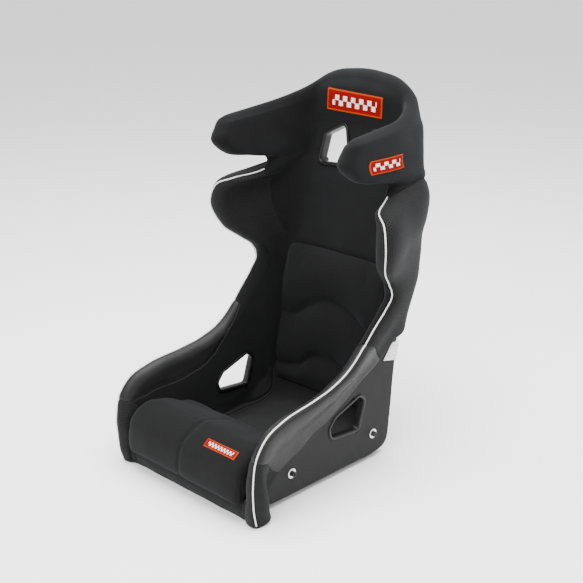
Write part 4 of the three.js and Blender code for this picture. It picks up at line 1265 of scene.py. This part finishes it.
def piping_white():
    look = Look("piping_white", Sheen_Weight=0.3, Specular_IOR_Level=0.3)
    s, g, _ = look.parts(look.cloth())
    twist_a = look.stripes(look.math("ADD", s, g), 1.2)
    twist_b = look.stripes(look.math("SUBTRACT", s, g), 1.2)
    weave = look.math("MAXIMUM", twist_a, twist_b)
    dirt = look.noise(0.03, 4)
    # Painted shade: the white darkens in the grooves between the cord's twists; the broad noise is dirt.
    look.colour(look.math("MULTIPLY", weave, dirt), (0.62, 0.61, 0.59), (0.93, 0.93, 0.92))
    look.rough(weave, 0.85, 0.65)
    look.bump(weave, 0.2, 0.6)
    return look.material


PATCH_PITCH = 0.9


def patch_weave(name, width, height):
    """Red field with an orange border and a white chequered band, woven at one scale on every patch."""
    look = Look(name, Specular_IOR_Level=0.08)
    u, v, _ = look.parts(look.cloth())
    x, y = look.math("MULTIPLY", u, width), look.math("MULTIPLY", v, height)
    edge = look.math("MINIMUM", look.math("MINIMUM", x, look.math("SUBTRACT", width, x)),
                     look.math("MINIMUM", y, look.math("SUBTRACT", height, y)))
    in_border = look.math("LESS_THAN", edge, 0.065 * height + 0.4)
    cell = 0.24 * height
    side_x = look.math("ABSOLUTE", look.math("SUBTRACT", u, 0.5))
    side_y = look.math("ABSOLUTE", look.math("SUBTRACT", v, 0.5))
    wave_x = look.math("SINE", look.math("MULTIPLY", x, pi / cell))
    wave_y = look.math("SINE", look.math("MULTIPLY", look.math("SUBTRACT", y, height / 2), pi / cell))
    check = look.math("GREATER_THAN", look.math("MULTIPLY", wave_x, wave_y), 0.0)
    band = look.math("MULTIPLY", look.math("LESS_THAN", side_y, 0.24), look.math("LESS_THAN", side_x, 0.40))
    white = look.math("MULTIPLY", band, check)
    field = look.mix(look.noise(0.08, 3), (0.20, 0.0006, 0.0006), (0.27, 0.001, 0.001))
    marked = look.mix(white, field, (0.86, 0.84, 0.82))
    bordered = look.mix(in_border, marked, (0.42, 0.048, 0.001))
    weave = look.math("MULTIPLY", look.stripes(x, PATCH_PITCH), look.stripes(y, PATCH_PITCH))
    shade = look.spread(weave, 0, 1, 0.72, 1.0)
    woven = look.add("VectorMath", {0: bordered, 3: shade}, operation="SCALE").outputs[0]
    look.set(look.shader, "Base Color", woven)
    look.rough(weave, 0.9, 0.65)
    look.bump(weave, 0.2, 0.7)
    return look.material


def label_film():
    """A blank label with two plain grey bars."""
    look = Look("label_film", Specular_IOR_Level=0.4)
    _, y, z = look.parts(look.space())
    slope = 11 / 48
    across = look.math("ADD", z, look.math("MULTIPLY", y, slope))
    bar = look.math("MULTIPLY", look.math("GREATER_THAN", look.stripes(across, 9.0), 0.88),
                    look.math("GREATER_THAN", look.noise(0.05, 1), 0.5))
    paper = look.mix(look.noise(0.05, 4), (0.70, 0.70, 0.69), (0.80, 0.80, 0.79))
    look.set(look.shader, "Base Color", look.mix(bar, paper, (0.42, 0.42, 0.43)))
    look.rough(look.noise(0.3, 3), 0.45, 0.65)
    look.bump(look.noise(0.4, 3), 0.04, 0.4)
    return look.material


def fastening_strip():
    look = Look("fastening_strip", Sheen_Weight=0.4)
    hooks = look.add("TexVoronoi", {"Vector": look.space(), "Scale": 0.9}).outputs[0]
    look.colour(hooks, (0.028, 0.028, 0.028), (0.008, 0.008, 0.008))
    look.rough(hooks, 0.8, 0.98)
    look.bump(hooks, 0.6, 0.9)
    return look.material


def thread():
    look = Look("thread", Sheen_Weight=0.3)
    look.colour(look.noise(1.5, 2), (0.012, 0.012, 0.013), (0.030, 0.030, 0.031))
    look.rough(look.noise(1.0, 2), 0.6, 0.8)
    look.bump(look.noise(3.0, 2), 0.08, 0.6)
    return look.material


def floor_look():
    look = Look("studio_floor")
    look.colour(look.noise(0.004, 3), (0.95, 0.95, 0.95), (0.97, 0.97, 0.97))
    look.rough(look.noise(0.01, 3), 0.75, 0.9)
    return look.material


# ---- Assembly ----------------------------------------------------------------------------------------
def paint(thing, material):
    thing.data.materials.clear()
    thing.data.materials.append(material)


def place(thing, material, nodes=(), body="seat"):
    """Gives a piece its material and body, and hides the CAD nodes it replaces."""
    paint(thing, material)
    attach(thing, body)
    if nodes:
        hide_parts(*nodes)


def carried(node, material):
    """A CAD node that stays gets its finish here."""
    paint(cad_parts[node], material)


KNIT, MESH, VINYL = black_knit(), open_mesh(), bolster_vinyl()
# The base's copy has much lighter yarn: painted light that lifts the shade falling on the seat's base.
RIBBED, BASE_PAINTED_LIGHT = cushion_knit("ribbed_mesh", 0.0045, 0.0078), cushion_knit("base_mesh_painted_light", 0.016, 0.026)
SHELL_LOOK, PLASTIC, STEEL, OXIDE = shell_laminate(), bezel_plastic(), bright_steel(), black_oxide()
PIPING, LABEL, STRIP, THREAD = piping_white(), label_film(), fastening_strip(), thread()

place(shell_moulding(), SHELL_LOOK, ["shell"])

PANELS = covers()
place(PANELS["back_cover"], KNIT, ["back_pad"])
place(PANELS["head_cover"], KNIT, ["head_pad"])
place(PANELS["lip_cover"], MESH, ["front_lip_pad"])
place(PANELS["base_cover"], BASE_PAINTED_LIGHT, ["seat_base_pad"])
place(closing_roll("crown_roll", TOP, 0.0, 20.0, True), KNIT)
for end, side in SIDES:
    place(PANELS["halo_cover_" + end], KNIT, ["halo_pad_" + end])
    place(PANELS["shoulder_cover_" + end], MESH, ["shoulder_pad_" + end])
    place(PANELS["torso_cover_" + end], MESH, ["side_pad_" + end])
    place(PANELS["wall_cover_" + end], KNIT)
    place(PANELS["hip_vinyl_" + end], VINYL, ["hip_bolster_" + end])
    place(PANELS["front_cover_" + end], MESH, ["front_bolster_" + end])
    place(closing_roll("front_hem_roll_" + end, 0, 2.6, 4.0, False, side), MESH)
    place(piping(end, side), PIPING, ["piping_" + end])
    inner_stitch = [(t, u - 0.12) for t, u in VINYL_INNER[:-1]]
    place(stitches("vinyl_stitching_" + end, inner_stitch, side), THREAD)

for name, outline, where, inner, outer in SLOTS:
    place(bezel(name, outline, where, inner, outer), PLASTIC, [name])
for name, thing in fasteners().items():
    place(thing, STEEL if name.startswith("washer") else OXIDE, [name])

CUSHION = leg_cushion()
place(CUSHION, RIBBED, ["leg_cushion"], body="leg_cushion_body")
place(cushion_patch(CUSHION), patch_weave("cushion_patch_weave", 104, 21), ["cushion_patch"],
      body="leg_cushion_body")
place(lumbar_pad(), KNIT, ["lumbar_pad"], body="lumbar_body")

WING_PATCH = [(25.00, 7.32), (25.30, 7.045), (26.20, 7.09), (26.00, 7.36)]
for end, side in SIDES:
    place(patch("wing_patch_woven_" + end, WING_PATCH, side), patch_weave("wing_patch_weave_" + end, 60, 30),
          ["wing_patch_" + end])
place(head_patch(), patch_weave("head_patch_weave", 186, 57), ["head_patch"])

carried("side_label", LABEL)
for node in ("leg_strip_front", "leg_strip_rear", "lumbar_strip_lower", "lumbar_strip_upper"):
    carried(node, STRIP)
for node in [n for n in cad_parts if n.startswith("insert_")]:
    carried(node, OXIDE)


# ---- Stage -------------------------------------------------------------------------------------------
def add_stage():
    size = 30.0
    mesh = bpy.data.meshes.new("studio_floor")
    corners = [(-size, -size, 0), (size, -size, 0), (size, size, 0), (-size, size, 0)]
    mesh.from_pydata(corners, [], [(0, 1, 2, 3)])
    floor = bpy.data.objects.new("studio_floor", mesh)
    bpy.context.scene.collection.objects.link(floor)
    paint(floor, floor_look())


LOOKED_AT = (0, 0, 0.45)
LIGHTS = (  # name, place and size in metres, power in watts
    ("key", (0.6, -2.2, 2.6), (2.0, 1.4), 80),
    ("side", (2.8, 0.4, 1.6), (1.6, 1.8), 14),
    ("top", (0, 0.2, 3.2), (3.0, 3.0), 300),
)
WORLD_STRENGTH = 1.4
CAMERA_AT = (1.85894, -1.85460, 1.35366)  # from the perspective fit to the photo, as are its turn and lens
CAMERA_TURN = (70.5769, 0, 44.3725)
LENS_MM, SENSOR_MM = 70.38, 36


def add_light(name, location, size, power):
    lamp = bpy.data.lights.new(name, "AREA")
    lamp.shape = "RECTANGLE"
    lamp.size, lamp.size_y = size
    lamp.energy = power
    thing = bpy.data.objects.new(name, lamp)
    thing.location = location
    thing.rotation_euler = (Vector(LOOKED_AT) - Vector(location)).to_track_quat("-Z", "Y").to_euler()
    bpy.context.scene.collection.objects.link(thing)


def add_lights():
    world = bpy.data.worlds.new("studio")
    world.use_nodes = True
    world.node_tree.nodes["Background"].inputs[0].default_value = (1, 1, 1, 1)
    world.node_tree.nodes["Background"].inputs[1].default_value = WORLD_STRENGTH
    bpy.context.scene.world = world
    for light in LIGHTS:
        add_light(*light)


def add_camera():
    lens = bpy.data.cameras.new("camera")
    lens.lens, lens.sensor_width = LENS_MM, SENSOR_MM
    camera = bpy.data.objects.new("camera", lens)
    camera.location = CAMERA_AT
    camera.rotation_euler = [radians(turn) for turn in CAMERA_TURN]
    bpy.context.scene.collection.objects.link(camera)
    bpy.context.scene.camera = camera


add_stage()
add_lights()
add_camera()
